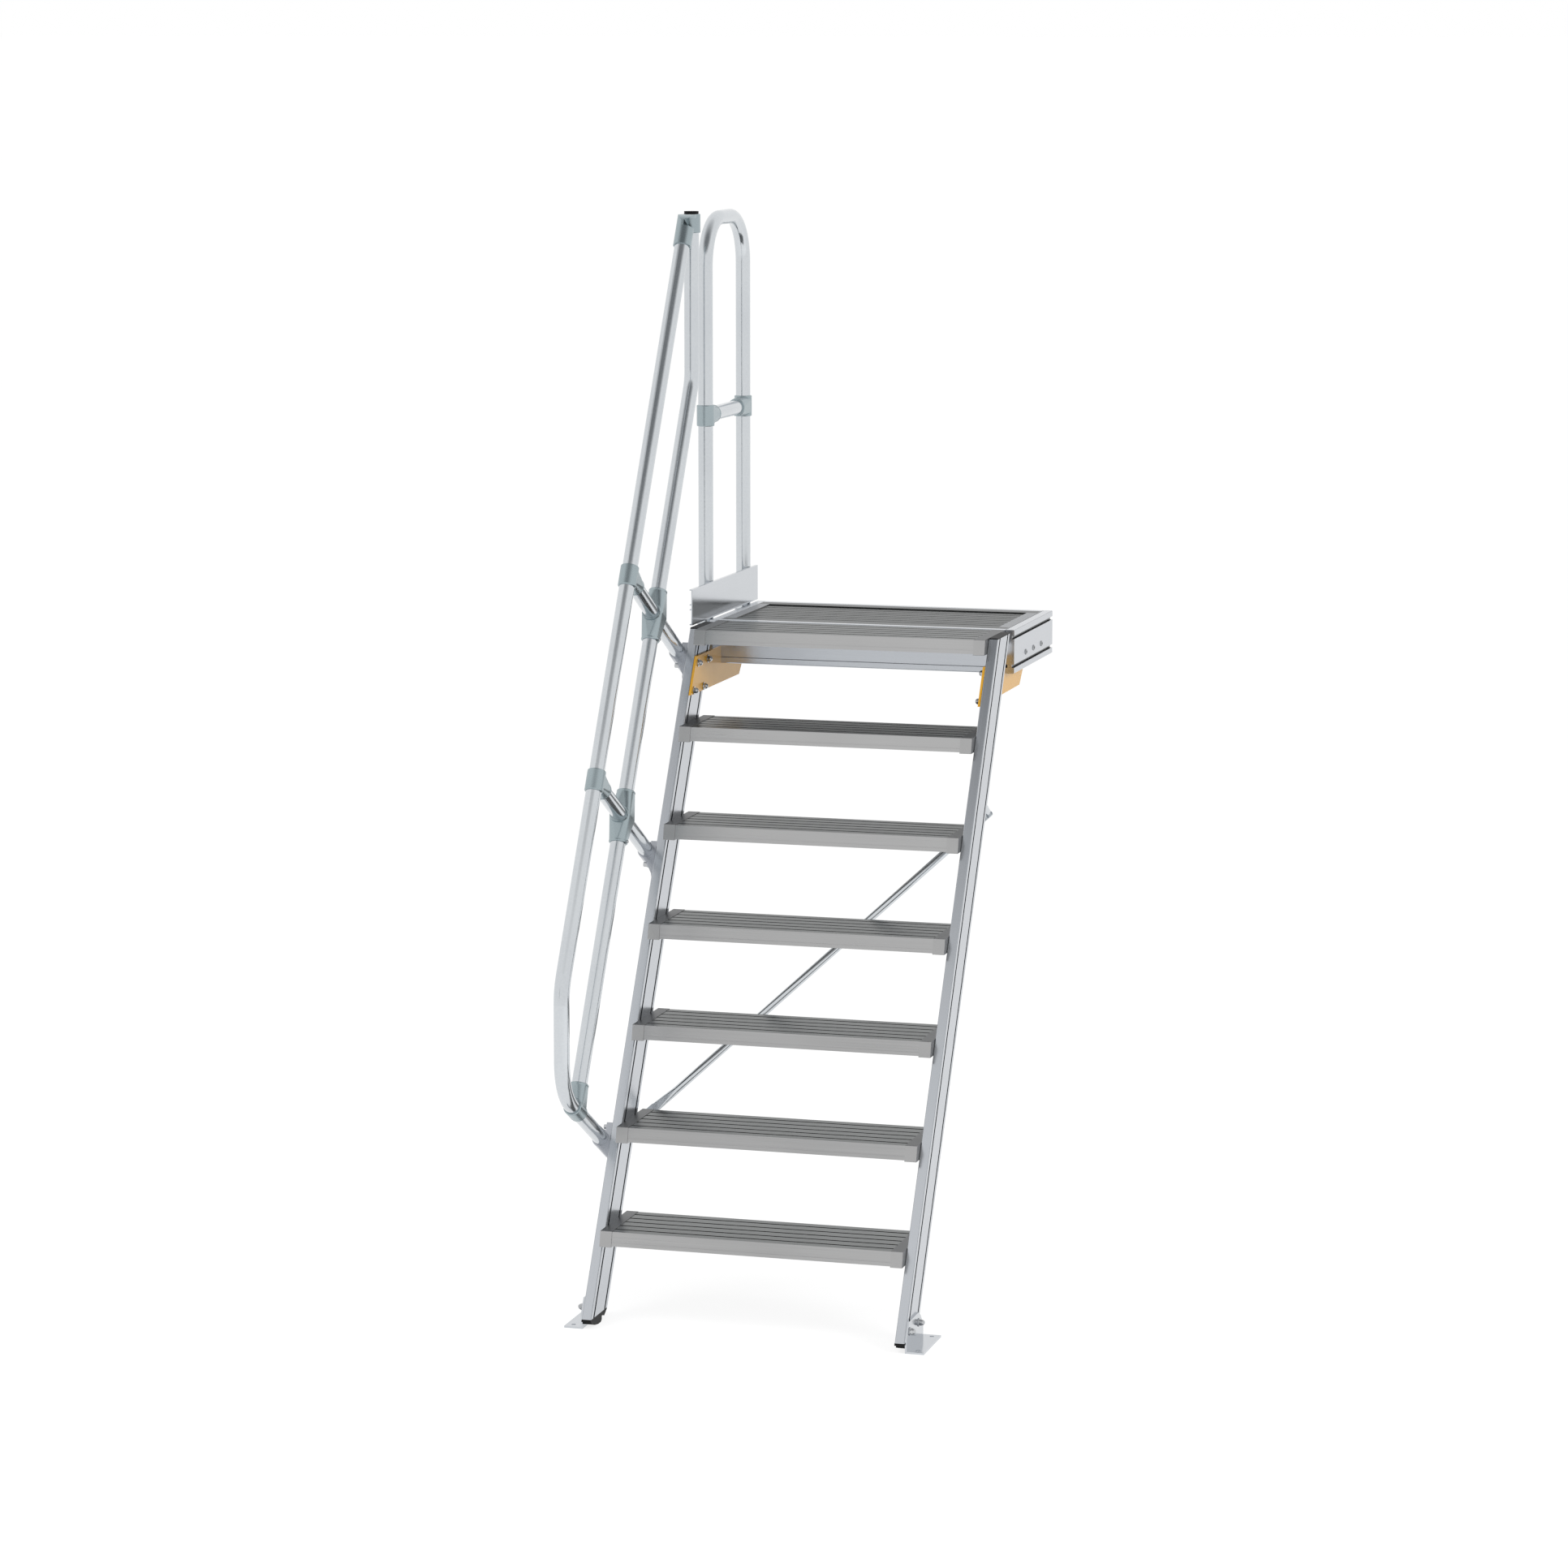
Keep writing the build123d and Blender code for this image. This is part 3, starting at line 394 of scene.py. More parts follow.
def socket_head(radius, height):
    """Cap screw head with a hexagon socket; its seat lies at z = 0."""
    rounding = radius * 0.14
    rings = [(radius * 0.96, 0.0), (radius, rounding * 0.4), (radius, height - rounding),
             (radius - rounding * 0.35, height - rounding * 0.35), (radius - rounding, height),
             (radius * 0.56, height), (radius * 0.5, height - rounding * 0.6),
             (radius * 0.5, height * 0.45), (radius * 0.2, height * 0.38)]
    shape = turned(rings)
    with_hexagons(shape, ((6, radius * 0.56), (7, radius * 0.56)))
    return finished_mesh("socket_head", shape)


def domed_nut(radius, height, washer_radius, washer_height):
    """Domed nut on a plain washer; the washer's seat lies at z = 0."""
    body = height - washer_height
    rings = [(washer_radius * 0.97, 0.0), (washer_radius, washer_height * 0.3),
             (washer_radius, washer_height * 0.8), (washer_radius * 0.97, washer_height),
             (radius * 0.92, washer_height), (radius, washer_height + body * 0.06),
             (radius, washer_height + body * 0.42), (radius * 0.9, washer_height + body * 0.52)]
    dome = radius * 0.82
    dome_low = washer_height + body * 0.54
    for step in range(7):
        turn = step / 7 * math.pi / 2
        rings.append((dome * math.cos(turn), dome_low + (height - dome_low) * math.sin(turn)))
    rings.append((dome * 0.06, height))
    shape = turned(rings)
    with_hexagons(shape, ((5, radius), (6, radius)))
    return finished_mesh("domed_nut", shape, 32.0)


def button_screw(radius, height):
    """Low rounded screw head with a hexagon socket; its seat lies at z = 0."""
    rings = [(radius * 0.97, 0.0), (radius, height * 0.12), (radius * 0.97, height * 0.4),
             (radius * 0.85, height * 0.72), (radius * 0.66, height * 0.94), (radius * 0.56, height),
             (radius * 0.5, height * 0.93), (radius * 0.48, height * 0.4), (radius * 0.15, height * 0.3)]
    shape = turned(rings)
    with_hexagons(shape, ((6, radius * 0.52), (7, radius * 0.5)))
    return finished_mesh("button_screw", shape)


def grub_screw(radius, proud):
    """End of a grub screw that stands proud of its hole, with a hexagon socket."""
    rings = [(radius, -proud * 0.5), (radius, proud * 0.86), (radius * 0.86, proud),
             (radius * 0.62, proud), (radius * 0.56, proud * 0.9), (radius * 0.54, proud * 0.3),
             (radius * 0.15, proud * 0.2)]
    shape = turned(rings)
    with_hexagons(shape, ((4, radius * 0.6), (5, radius * 0.58)))
    return finished_mesh("grub_screw", shape)


def group_input(tree, name, socket_type, default):
    """Named input of a geometry tree."""
    socket = tree.interface.new_socket(name=name, in_out="INPUT", socket_type=socket_type)
    if default is not None:
        socket.default_value = default
    return socket.identifier


def fitting_tree():
    """Geometry tree that sets one fitting on each point, turned to face away from its seat."""
    tree = bpy.data.node_groups.new("set_fittings", "GeometryNodeTree")
    identifiers = {
        "Seats": group_input(tree, "Seats", "NodeSocketGeometry", None),
        "Fitting": group_input(tree, "Fitting", "NodeSocketObject", None),
        "Size": group_input(tree, "Size", "NodeSocketFloat", 1.0),
        "Finish": group_input(tree, "Finish", "NodeSocketMaterial", None),
        "Turn Seed": group_input(tree, "Turn Seed", "NodeSocketInt", FITTING_TURN_SEED),
    }
    tree.interface.new_socket(name="Fittings", in_out="OUTPUT", socket_type="NodeSocketGeometry")
    entry = add_node(tree, "NodeGroupInput").outputs
    points = add_node(tree, "GeometryNodeMeshToPoints", {"Mesh": entry["Seats"]})
    facing = add_node(tree, "GeometryNodeInputNamedAttribute", {"Name": "facing"}, data_type="FLOAT_VECTOR")
    aligned = add_node(tree, "FunctionNodeAlignRotationToVector",
                       {"Vector": facing.outputs["Attribute"]}, axis="Z")
    spin = add_node(tree, "FunctionNodeRandomValue",
                    {2: 0.0, 3: math.tau, "Seed": entry["Turn Seed"]}, data_type="FLOAT")
    spin_vector = add_node(tree, "ShaderNodeCombineXYZ", {"Z": spin.outputs[1]})
    spin_turn = add_node(tree, "FunctionNodeEulerToRotation", {"Euler": spin_vector.outputs["Vector"]})
    turned_fitting = add_node(tree, "FunctionNodeRotateRotation",
                              {"Rotation": aligned.outputs["Rotation"],
                               "Rotate By": spin_turn.outputs["Rotation"]}, rotation_space="LOCAL")
    fitting = add_node(tree, "GeometryNodeObjectInfo", {"Object": entry["Fitting"]})
    placed = add_node(tree, "GeometryNodeInstanceOnPoints",
                      {"Points": points.outputs["Points"], "Instance": fitting.outputs["Geometry"],
                       "Rotation": turned_fitting.outputs["Rotation"], "Scale": entry["Size"]})
    real = add_node(tree, "GeometryNodeRealizeInstances", {"Geometry": placed.outputs["Instances"]})
    painted = add_node(tree, "GeometryNodeSetMaterial",
                       {"Geometry": real.outputs["Geometry"], "Material": entry["Finish"]})
    add_node(tree, "NodeGroupOutput", {"Fittings": painted.outputs["Geometry"]})
    return tree, identifiers


def set_fittings(name, fitting_mesh, seats, material):
    """Plain piece with one fitting on each seat; a seat is a place and the way it faces."""
    tree, identifiers = fitting_tree()
    carrier_mesh = bpy.data.meshes.new(f"{name}_seats")
    carrier_mesh.from_pydata([place for place, _ in seats], [], [])
    facing = carrier_mesh.attributes.new("facing", "FLOAT_VECTOR", "POINT")
    for index, (_, direction) in enumerate(seats):
        facing.data[index].vector = direction
    carrier = bpy.data.objects.new(f"{name}_carrier", carrier_mesh)
    model = bpy.data.objects.new(f"{name}_model", fitting_mesh)
    for helper in (carrier, model):
        bpy.context.scene.collection.objects.link(helper)
    modifier = carrier.modifiers.new("fittings", "NODES")
    modifier.node_group = tree
    modifier[identifiers["Fitting"]] = model
    modifier[identifiers["Finish"]] = material
    depsgraph = bpy.context.evaluated_depsgraph_get()
    mesh = bpy.data.meshes.new_from_object(carrier.evaluated_get(depsgraph), depsgraph=depsgraph)
    if len(mesh.polygons) < len(seats) * len(fitting_mesh.polygons):
        raise RuntimeError(f"{name} lacks some of its {len(seats)} fittings")
    mesh.name = name
    for helper in (carrier, model):
        bpy.data.objects.remove(helper)
    piece = bpy.data.objects.new(name, mesh)
    bpy.context.scene.collection.objects.link(piece)
    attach(piece, BODY)
    return piece


class StairFinishes(bpy.types.PropertyGroup):
    """Colours of the finishes."""
    profile: StringProperty(name="Profile", description="Anodised profile, sRGB hex", default="#c0c3c8")
    profile_shade: StringProperty(name="Profile shade", description="Darker tone of the profile",
                                  default="#bcc0c5")
    # Painted shade: the nearly black bottoms of the slots
    slot: StringProperty(name="Slot", description="Unlit bottoms of the profile's slots", default="#202326")
    # Painted light and shade: the tops of the treads, the deck and the end caps take other tones than their
    # fronts, and the groove walls are painted dark
    tread_top: StringProperty(name="Tread top", description="Grooved top of the treads", default="#979999")
    tread_top_shade: StringProperty(name="Tread top shade", description="Darker tone of the grooved top",
                                    default="#909292")
    deck_top: StringProperty(name="Deck top", description="Grooved top of the deck", default="#858787")
    deck_top_shade: StringProperty(name="Deck top shade", description="Darker tone of the deck",
                                   default="#7e8080")
    tread_groove_shade: StringProperty(name="Tread groove", description="Walls of the grooves", default="#3c3d3d")
    tread_front: StringProperty(name="Tread front", description="Nose of the treads", default="#b6b6b6")
    tread_front_shade: StringProperty(name="Tread front shade", description="Darker tone of the nose",
                                      default="#b0b0b0")
    cap_top: StringProperty(name="End cap top", description="Top of the treads' end caps", default="#8f9091")
    cap_top_shade: StringProperty(name="End cap top shade", description="Darker tone of that top",
                                  default="#88898a")
    cap_front: StringProperty(name="End cap front", description="Front of the end caps", default="#b3b3b3")
    cap_front_shade: StringProperty(name="End cap front shade", description="Darker tone of that front",
                                    default="#acacac")
    deck_cap: StringProperty(name="Deck cap", description="End caps of the deck", default="#c2c4c7")
    deck_cap_shade: StringProperty(name="Deck cap shade", description="Darker tone of the deck's caps",
                                   default="#bcbec1")
    casting: StringProperty(name="Casting", description="Cast fittings", default="#a5b1b5")
    casting_shade: StringProperty(name="Casting shade", description="Darker tone of the castings",
                                  default="#9fabaf")
    socket: StringProperty(name="Socket", description="Cast sockets of the posts", default="#b4b7bd")
    socket_shade: StringProperty(name="Socket shade", description="Darker tone of the sockets",
                                 default="#aeb1b7")
    tube: StringProperty(name="Tube", description="Drawn handrail tube", default="#d0d4d7")
    tube_shade: StringProperty(name="Tube shade", description="Darker tone of the tube", default="#c8ccd0")
    sheet: StringProperty(name="Sheet", description="Toe board and floor brackets", default="#c6c9ce")
    sheet_shade: StringProperty(name="Sheet shade", description="Darker tone of the sheet", default="#bfc3c7")
    ochre: StringProperty(name="Ochre", description="Coated joint plates", default="#e4ab35")
    ochre_shade: StringProperty(name="Ochre shade", description="Darker tone of the plates",
                                default="#dba230")
    plastic: StringProperty(name="Plastic", description="Black moulded parts", default="#1c1c1d")
    plastic_shade: StringProperty(name="Plastic shade", description="Darker tone of the plastic",
                                  default="#141415")
    steel: StringProperty(name="Steel", description="Screws and nuts", default="#c4c6c8")
    steel_shade: StringProperty(name="Steel shade", description="Darker tone of the steel", default="#a4a6a8")
    # Painted shade: the screws in the side beams take darker steel than the other screws
    shaded_beam_screw: StringProperty(name="Beam screw", description="Screws in the side beams", default="#a3a5a7")
    shaded_beam_screw_dark: StringProperty(name="Beam screw shade", description="Darker tone of those screws",
                                     default="#8a8c8e")


class StairFittings(bpy.types.PropertyGroup):
    """Sizes of the small fittings."""
    screw_radius: FloatProperty(name="Screw head radius", description="Cap screws of the sockets",
                                default=0.0065, unit="LENGTH")
    nut_radius: FloatProperty(name="Nut radius", description="Corner radius of the domed nuts",
                              default=0.0085, unit="LENGTH")
    washer_radius: FloatProperty(name="Washer radius", description="Washers under the domed nuts",
                                 default=0.011, unit="LENGTH")
    washer_height: FloatProperty(name="Washer height", description="Thickness of the washers",
                                 default=0.002, unit="LENGTH")
    beam_screw_radius: FloatProperty(name="Beam screw radius", description="Screw heads in the side beams",
                                     default=0.008, unit="LENGTH")
    beam_screw_height: FloatProperty(name="Beam screw height", description="Height of those heads",
                                     default=0.003, unit="LENGTH")
    beam_screw_spacing: FloatProperty(name="Beam screw spacing", description="Spacing along the beam",
                                      default=0.092, unit="LENGTH")
    beam_screw_setback: FloatProperty(name="Beam screw setback", description="Wall face to the last screw",
                                      default=0.132, unit="LENGTH")
    beam_screw_level: FloatProperty(name="Beam screw level", description="Level above the beam's middle",
                                    default=-0.016, unit="LENGTH")
    grub_radius: FloatProperty(name="Grub screw radius", description="Grub screws in the castings",
                               default=0.0038, unit="LENGTH")
    grub_proud: FloatProperty(name="Grub screw height", description="How far a grub screw stands proud",
                              default=0.004, unit="LENGTH")
    grub_from_middle: FloatProperty(name="Grub screw place", description="Distance down the rail from the "
                                    "middle of the casting", default=0.0665, unit="LENGTH")


class StairStage(bpy.types.PropertyGroup):
    """Studio and camera."""
    lens: FloatProperty(name="Lens", description="Focal length of the camera in millimetres", default=112.1)
    camera_place: FloatVectorProperty(name="Camera place", description="Place of the camera",
                                      default=(3.3799, -13.0100, 1.6621), unit="LENGTH")
    camera_pitch: FloatProperty(name="Camera pitch", description="Angle below the horizon",
                                default=math.radians(8.899), subtype="ANGLE")
    camera_turn: FloatProperty(name="Camera turn", description="Turn to the left of the Y axis",
                               default=math.radians(15.975), subtype="ANGLE")
    sky: FloatProperty(name="Sky", description="Strength of the even studio light", default=0.62)
    floor_reach: FloatProperty(name="Floor reach", description="Half the width of the floor",
                               default=900.0, unit="LENGTH")


class STAIR_OT_profiles(bpy.types.Operator):
    """Anodised finish of the stringers and the platform beams"""
    bl_idname = "stair.profiles"
    bl_label = "Profiles"

    def execute(self, context):
        looks = context.scene.stair_finishes
        low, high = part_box("right_stringer")
        # The bottoms of the slots get painted shade
        slots = (looks.slot, low.x + SLOT_LIP / 2, high.x - SLOT_LIP / 2)
        for suffix, turn, slotted, names in (
            ("slope", ALONG_SLOPE, slots, ("left_stringer", "right_stringer")),
            ("level", ALONG_Y, slots, ("left_side_beam", "right_side_beam")),
            ("caps", ALONG_Y, None, ("side_beam_end_caps",)),
            ("cross", ALONG_X, None, ("front_cross_beam", "rear_cross_beam")),
        ):
            paint(names, anodised_profile(f"anodised_profile_{suffix}", turn, looks.profile,
                                          looks.profile_shade, slotted))
        return {"FINISHED"}


class STAIR_OT_treads(bpy.types.Operator):
    """Mill finish of the tread planks, the deck and their end caps"""
    bl_idname = "stair.treads"
    bl_label = "Treads and deck"

    def execute(self, context):
        looks = context.scene.stair_finishes
        # Tops take other tones than fronts, and groove walls a dark one, as painted light and shade
        for name, top, top_shade, node_names in (
            ("tread_extrusion", looks.tread_top, looks.tread_top_shade, TREADS),
            ("deck_extrusion", looks.deck_top, looks.deck_top_shade, ("deck_panel",)),
        ):
            paint(node_names, tread_extrusion(name, top, top_shade, looks.tread_front,
                                              looks.tread_front_shade, looks.tread_groove_shade))
        paint(("tread_end_caps",),
              tread_cap_casting("tread_cap_casting", looks.cap_top, looks.cap_top_shade,
                                looks.cap_front, looks.cap_front_shade))
        paint(("deck_end_caps",),
              tread_cap_casting("deck_cap_casting", looks.deck_cap, looks.deck_cap_shade,
                                looks.cap_front, looks.cap_front_shade))
        return {"FINISHED"}


class STAIR_OT_handrail(bpy.types.Operator):
    """Bright tubes of the handrail, hoop and brace"""
    bl_idname = "stair.handrail"
    bl_label = "Handrail tubes"

    def execute(self, context):
        looks = context.scene.stair_finishes
        paint(("top_rail_tube", "knee_rail_tube", "upper_post", "middle_post", "guard_hoop_tube",
               "guard_hoop_bar", "diagonal_brace", "diagonal_brace_spacers"),
              drawn_tube("drawn_tube", looks.tube, looks.tube_shade))
        return {"FINISHED"}


class STAIR_OT_castings(bpy.types.Operator):
    """Blasted finish of the cast fittings and sockets"""
    bl_idname = "stair.castings"
    bl_label = "Castings"

    def execute(self, context):
        looks = context.scene.stair_finishes
        paint(("tee_fittings", "cross_fittings", "lower_joint_fitting", "top_elbow_fitting",
               "guard_hoop_fittings"),
              blasted_casting("blasted_casting", looks.casting, looks.casting_shade))
        paint(("stringer_sockets", "guard_hoop_sockets"),
              blasted_casting("blasted_socket", looks.socket, looks.socket_shade))
        return {"FINISHED"}


class STAIR_OT_plates(bpy.types.Operator):
    """Finish of the toe board, floor brackets and joint plates"""
    bl_idname = "stair.plates"
    bl_label = "Plates"

    def execute(self, context):
        looks = context.scene.stair_finishes
        paint(("toe_board", "left_floor_bracket", "right_floor_bracket"),
              rolled_sheet("rolled_sheet", looks.sheet, looks.sheet_shade))
        paint(("left_joint_plate", "right_joint_plate"),
              ochre_coating("ochre_coating", looks.ochre, looks.ochre_shade))
        return {"FINISHED"}


class STAIR_OT_plastics(bpy.types.Operator):
    """Black plastic of the feet, caps and plug"""
    bl_idname = "stair.plastics"
    bl_label = "Plastic parts"

    def execute(self, context):
        looks = context.scene.stair_finishes
        paint(("stringer_feet", "stringer_top_caps", "upright_plug"),
              moulded_polyamide("moulded_polyamide", looks.plastic, looks.plastic_shade))
        return {"FINISHED"}


class STAIR_OT_nuts(bpy.types.Operator):
    """Domed nuts of the joint plates and floor brackets, and the brace screws"""
    bl_idname = "stair.nuts"
    bl_label = "Domed nuts"

    def execute(self, context):
        looks = context.scene.stair_finishes
        sizes = context.scene.stair_fittings
        steel = turned_stainless("turned_stainless_nuts", looks.steel, looks.steel_shade)
        paint(("diagonal_brace_screws",), steel)
        for name, node_name, towards_middle in (("plate_nuts", "joint_plate_nuts", True),
                                                ("bracket_nuts", "floor_bracket_nuts", False)):
            seats = []
            boxes = loose_boxes(node_name)
            height = boxes[-1][1].x - boxes[-1][0].x
            for low, high in boxes:
                middle = (low + high) / 2
                points_right = (middle.x < 0) == towards_middle
                seat_x = low.x if points_right else high.x
                outward = Vector((1.0 if points_right else -1.0, 0.0, 0.0))
                seats.append((Vector((seat_x, middle.y, middle.z)), outward))
            nut = domed_nut(sizes.nut_radius, height, sizes.washer_radius, sizes.washer_height)
            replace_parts(set_fittings(name, nut, seats, steel), node_name)
        return {"FINISHED"}


class STAIR_OT_cap_screws(bpy.types.Operator):
    """Cap screws of the post sockets"""
    bl_idname = "stair.cap_screws"
    bl_label = "Cap screws"

    def execute(self, context):
        looks = context.scene.stair_finishes
        sizes = context.scene.stair_fittings
        steel = turned_stainless("turned_stainless_screws", looks.steel, looks.steel_shade)
        node_names = ("stringer_socket_bolts", "guard_hoop_socket_bolts")
        boxes = [box for node_name in node_names for box in loose_boxes(node_name)]
        seats = []
        for low, high in boxes:
            middle = (low + high) / 2
            seats.append((Vector((high.x, middle.y, middle.z)), Vector((-1.0, 0.0, 0.0))))
        head = socket_head(sizes.screw_radius, boxes[-1][1].x - boxes[-1][0].x)
        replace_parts(set_fittings("cap_screws", head, seats, steel), *node_names)
        return {"FINISHED"}


class STAIR_OT_beam_screws(bpy.types.Operator):
    """Button-head screws that hold the cross beams in both side beams"""
    bl_idname = "stair.beam_screws"
    bl_label = "Beam screws"

    def execute(self, context):
        looks = context.scene.stair_finishes
        sizes = context.scene.stair_fittings
        seats = []
        for node_name, side in (("left_side_beam", -1), ("right_side_beam", 1)):
            low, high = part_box(node_name)
            face = high.x if side > 0 else low.x
            level = (low.z + high.z) / 2 + sizes.beam_screw_level
            for step in range(BEAM_SCREW_COUNT):
                y = high.y - sizes.beam_screw_setback - step * sizes.beam_screw_spacing
                seats.append((Vector((face, y, level)), Vector((side, 0.0, 0.0))))
        head = button_screw(sizes.beam_screw_radius, sizes.beam_screw_height)
        # Darker steel than the other screws, as painted shade
        steel = turned_stainless("turned_stainless_shaded_beams", looks.shaded_beam_screw, looks.shaded_beam_screw_dark)
        set_fittings("beam_screws", head, seats, steel)
        return {"FINISHED"}


class STAIR_OT_grub_screws(bpy.types.Operator):
    """Grub screws that clamp the knee rail in the cross castings"""
    bl_idname = "stair.grub_screws"
    bl_label = "Grub screws"

    def execute(self, context):
        looks = context.scene.stair_finishes
        sizes = context.scene.stair_fittings
        down_the_rail = Vector((0.0, -math.cos(SLOPE), -math.sin(SLOPE)))
        seats = []
        for low, high in loose_boxes("cross_fittings"):
            middle = (low + high) / 2
            place = middle + down_the_rail * sizes.grub_from_middle
            place.x += CASTING_SLEEVE_RADIUS
            seats.append((place, Vector((1.0, 0.0, 0.0))))
        screw = grub_screw(sizes.grub_radius, sizes.grub_proud)
        steel = turned_stainless("turned_stainless_grubs", looks.steel, looks.steel_shade)
        set_fittings("grub_screws", screw, seats, steel)
        return {"FINISHED"}


def background_share(tree):
    """1 for rays that should meet the plain background: from the camera, off gloss, through glass."""
    path = add_node(tree, "ShaderNodeLightPath")
    seen = add_node(tree, "ShaderNodeMath",
                    {0: path.outputs["Is Camera Ray"], 1: path.outputs["Is Glossy Ray"]}, operation="MAXIMUM")
    seen = add_node(tree, "ShaderNodeMath",
                    {0: seen.outputs[0], 1: path.outputs["Is Transmission Ray"]}, operation="MAXIMUM")
    return seen.outputs[0]


def reflected_flag(name, middle, right, up, tone, edge):
    """Grey studio flag with soft edges that only reflections see; bright metal gets its darker
    streaks from it. Right and up run from the middle to the flag's edges."""
    material, tree, output, coordinates = new_material(name)
    # Cloth on a frame: its weave is far too fine to be seen, so only its soft edge is drawn
    across = [max(abs(right[axis]), abs(up[axis]), 0.01) for axis in range(3)]
    centred = add_node(tree, "ShaderNodeMapping",
                       {"Vector": coordinates, "Location": middle, "Scale": across}, vector_type="TEXTURE")
    round_edge = add_node(tree, "ShaderNodeTexGradient", {"Vector": centred.outputs["Vector"]},
                          gradient_type="SPHERICAL")
    cover = add_node(tree, "ShaderNodeMapRange", {"Value": round_edge.outputs["Fac"], "From Max": edge})
    glow = add_node(tree, "ShaderNodeEmission", {"Color": linear(tone), "Strength": 1.0})
    clear = add_node(tree, "ShaderNodeBsdfTransparent")
    cloth = add_node(tree, "ShaderNodeMixShader",
                     {0: cover.outputs["Result"], 1: clear.outputs["BSDF"], 2: glow.outputs["Emission"]})
    tree.links.new(cloth.outputs["Shader"], output.inputs["Surface"])
    centre, right, up = Vector(middle), Vector(right), Vector(up)
    corners = [centre - right - up, centre + right - up, centre + right + up, centre - right + up]
    mesh = bpy.data.meshes.new(name)
    mesh.from_pydata(corners, [], [(0, 1, 2, 3)])
    mesh.materials.append(material)
    flag = bpy.data.objects.new(name, mesh)
    flag.visible_camera = False
    flag.visible_diffuse = False
    flag.visible_shadow = False
    flag.visible_transmission = False
    bpy.context.scene.collection.objects.link(flag)


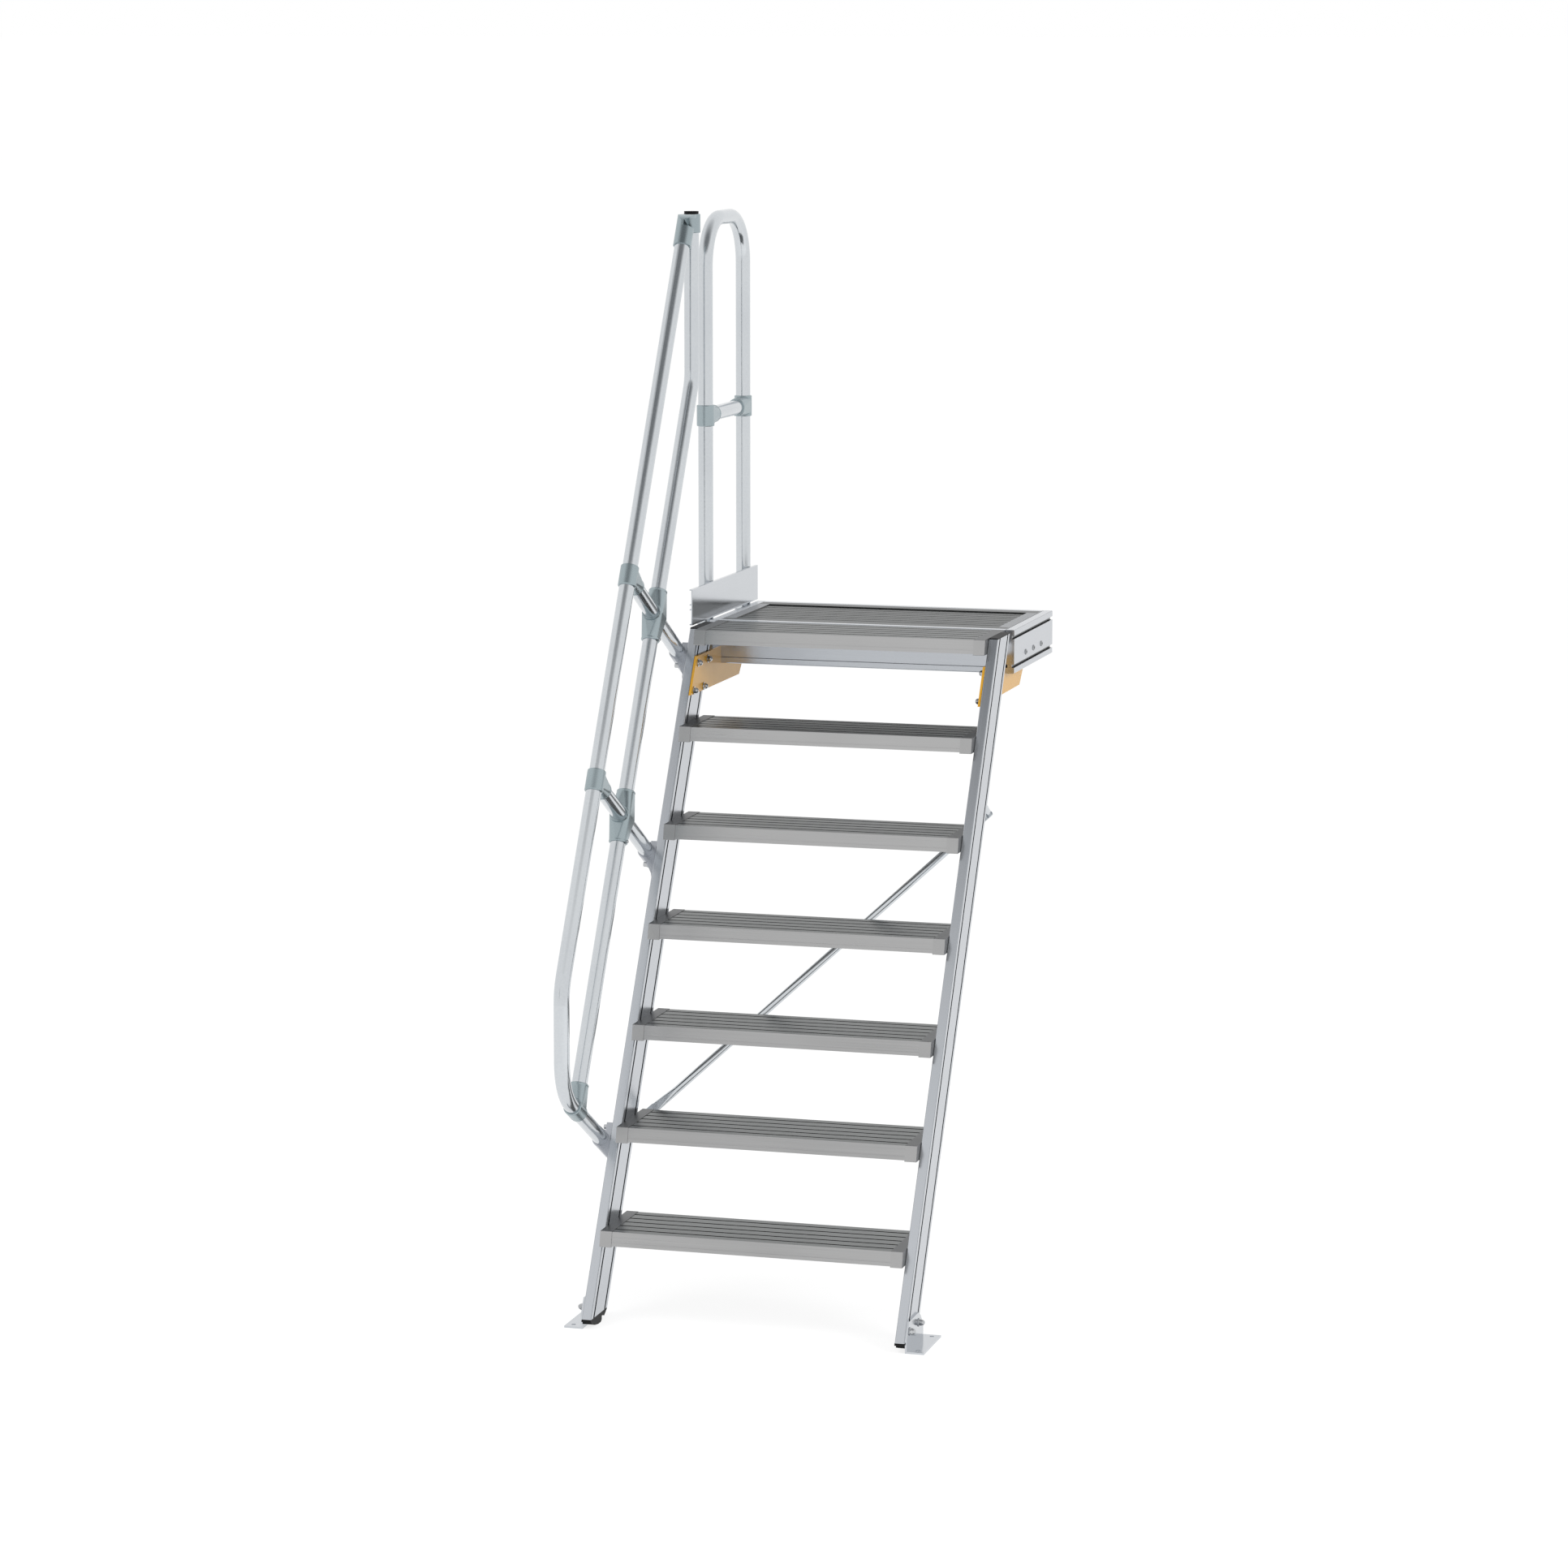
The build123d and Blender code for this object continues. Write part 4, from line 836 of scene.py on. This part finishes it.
class STAIR_OT_studio(bpy.types.Operator):
    """Builds the floor, the lights and the camera"""
    bl_idname = "stair.studio"
    bl_label = "Studio"

    def execute(self, context):
        stage = context.scene.stair_stage
        world = bpy.data.worlds.new("studio_air")
        world.use_nodes = True
        tree = world.node_tree
        tree.nodes.clear()
        share = background_share(tree)
        strength = add_node(tree, "ShaderNodeMapRange", {"Value": share, "To Min": stage.sky, "To Max": 1.0})
        background = add_node(tree, "ShaderNodeBackground",
                              {"Color": (1.0, 1.0, 1.0, 1.0), "Strength": strength.outputs["Result"]})
        add_node(tree, "ShaderNodeOutputWorld", {"Surface": background.outputs["Background"]})
        context.scene.world = world

        material, tree, output, _ = new_material("studio_floor")
        seen = background_share(tree)
        matt = add_node(tree, "ShaderNodeBsdfDiffuse", {"Color": (FLOOR_ALBEDO,) * 3 + (1.0,)})
        glow = add_node(tree, "ShaderNodeEmission", {"Color": (1.0, 1.0, 1.0, 1.0), "Strength": FLOOR_GLOW})
        glow_share = add_node(tree, "ShaderNodeMath", {0: seen, 1: FLOOR_GLOW_SHARE}, operation="MULTIPLY")
        blend = add_node(tree, "ShaderNodeMixShader",
                         {0: glow_share.outputs[0], 1: matt.outputs["BSDF"], 2: glow.outputs["Emission"]})
        tree.links.new(blend.outputs["Shader"], output.inputs["Surface"])
        mesh = bpy.data.meshes.new("floor")
        reach = stage.floor_reach
        mesh.from_pydata([(-reach, -reach, FLOOR_LEVEL), (reach, -reach, FLOOR_LEVEL),
                          (reach, reach, FLOOR_LEVEL), (-reach, reach, FLOOR_LEVEL)], [], [(0, 1, 2, 3)])
        mesh.materials.append(material)
        floor = bpy.data.objects.new("floor", mesh)
        context.scene.collection.objects.link(floor)

        for name, (middle, right, up, tone, edge) in FLAGS.items():
            reflected_flag(name, middle, right, up, tone, edge)

        for name, (place, power) in LAMPS.items():
            light = bpy.data.lights.new(name, "AREA")
            light.shape = "SQUARE"
            light.size = LAMP_SIZE
            light.energy = power
            lamp = bpy.data.objects.new(name, light)
            lamp.location = place
            direction = Vector(LAMP_AIM) - Vector(place)
            lamp.rotation_euler = direction.to_track_quat("-Z", "Y").to_euler()
            lamp.visible_glossy = False
            context.scene.collection.objects.link(lamp)

        camera_data = bpy.data.cameras.new("camera")
        camera_data.lens = stage.lens
        camera_data.sensor_width = SENSOR_WIDTH
        camera_data.clip_end = VIEW_END
        camera = bpy.data.objects.new("camera", camera_data)
        camera.location = stage.camera_place
        camera.rotation_euler = (math.pi / 2 - stage.camera_pitch, 0.0, stage.camera_turn)
        context.scene.collection.objects.link(camera)
        context.scene.camera = camera
        context.scene.view_settings.view_transform = "Standard"
        return {"FINISHED"}


class STAIR_PT_panel(bpy.types.Panel):
    """Lists the stair's operators in the sidebar"""
    bl_idname = "STAIR_PT_panel"
    bl_label = "Platform stair"
    bl_space_type = "VIEW_3D"
    bl_region_type = "UI"
    bl_category = "Stair"

    def draw(self, context):
        for operator in OPERATORS:
            self.layout.operator(operator.bl_idname)


OPERATORS = (STAIR_OT_studio, STAIR_OT_profiles, STAIR_OT_treads, STAIR_OT_handrail, STAIR_OT_castings,
             STAIR_OT_plates, STAIR_OT_plastics, STAIR_OT_nuts, STAIR_OT_cap_screws,
             STAIR_OT_beam_screws, STAIR_OT_grub_screws)
GROUPS = {"stair_finishes": StairFinishes, "stair_fittings": StairFittings, "stair_stage": StairStage}


def register():
    for group in GROUPS.values():
        bpy.utils.register_class(group)
    for operator in OPERATORS:
        bpy.utils.register_class(operator)
    bpy.utils.register_class(STAIR_PT_panel)
    for name, group in GROUPS.items():
        setattr(bpy.types.Scene, name, PointerProperty(type=group))


def unregister():
    for name in GROUPS:
        delattr(bpy.types.Scene, name)
    bpy.utils.unregister_class(STAIR_PT_panel)
    for operator in OPERATORS:
        bpy.utils.unregister_class(operator)
    for group in GROUPS.values():
        bpy.utils.unregister_class(group)


def main():
    register()
    bpy.ops.stair.studio()
    bpy.ops.stair.profiles()
    bpy.ops.stair.treads()
    bpy.ops.stair.handrail()
    bpy.ops.stair.castings()
    bpy.ops.stair.plates()
    bpy.ops.stair.plastics()
    bpy.ops.stair.nuts()
    bpy.ops.stair.cap_screws()
    bpy.ops.stair.beam_screws()
    bpy.ops.stair.grub_screws()


if __name__ == "__main__":
    main()
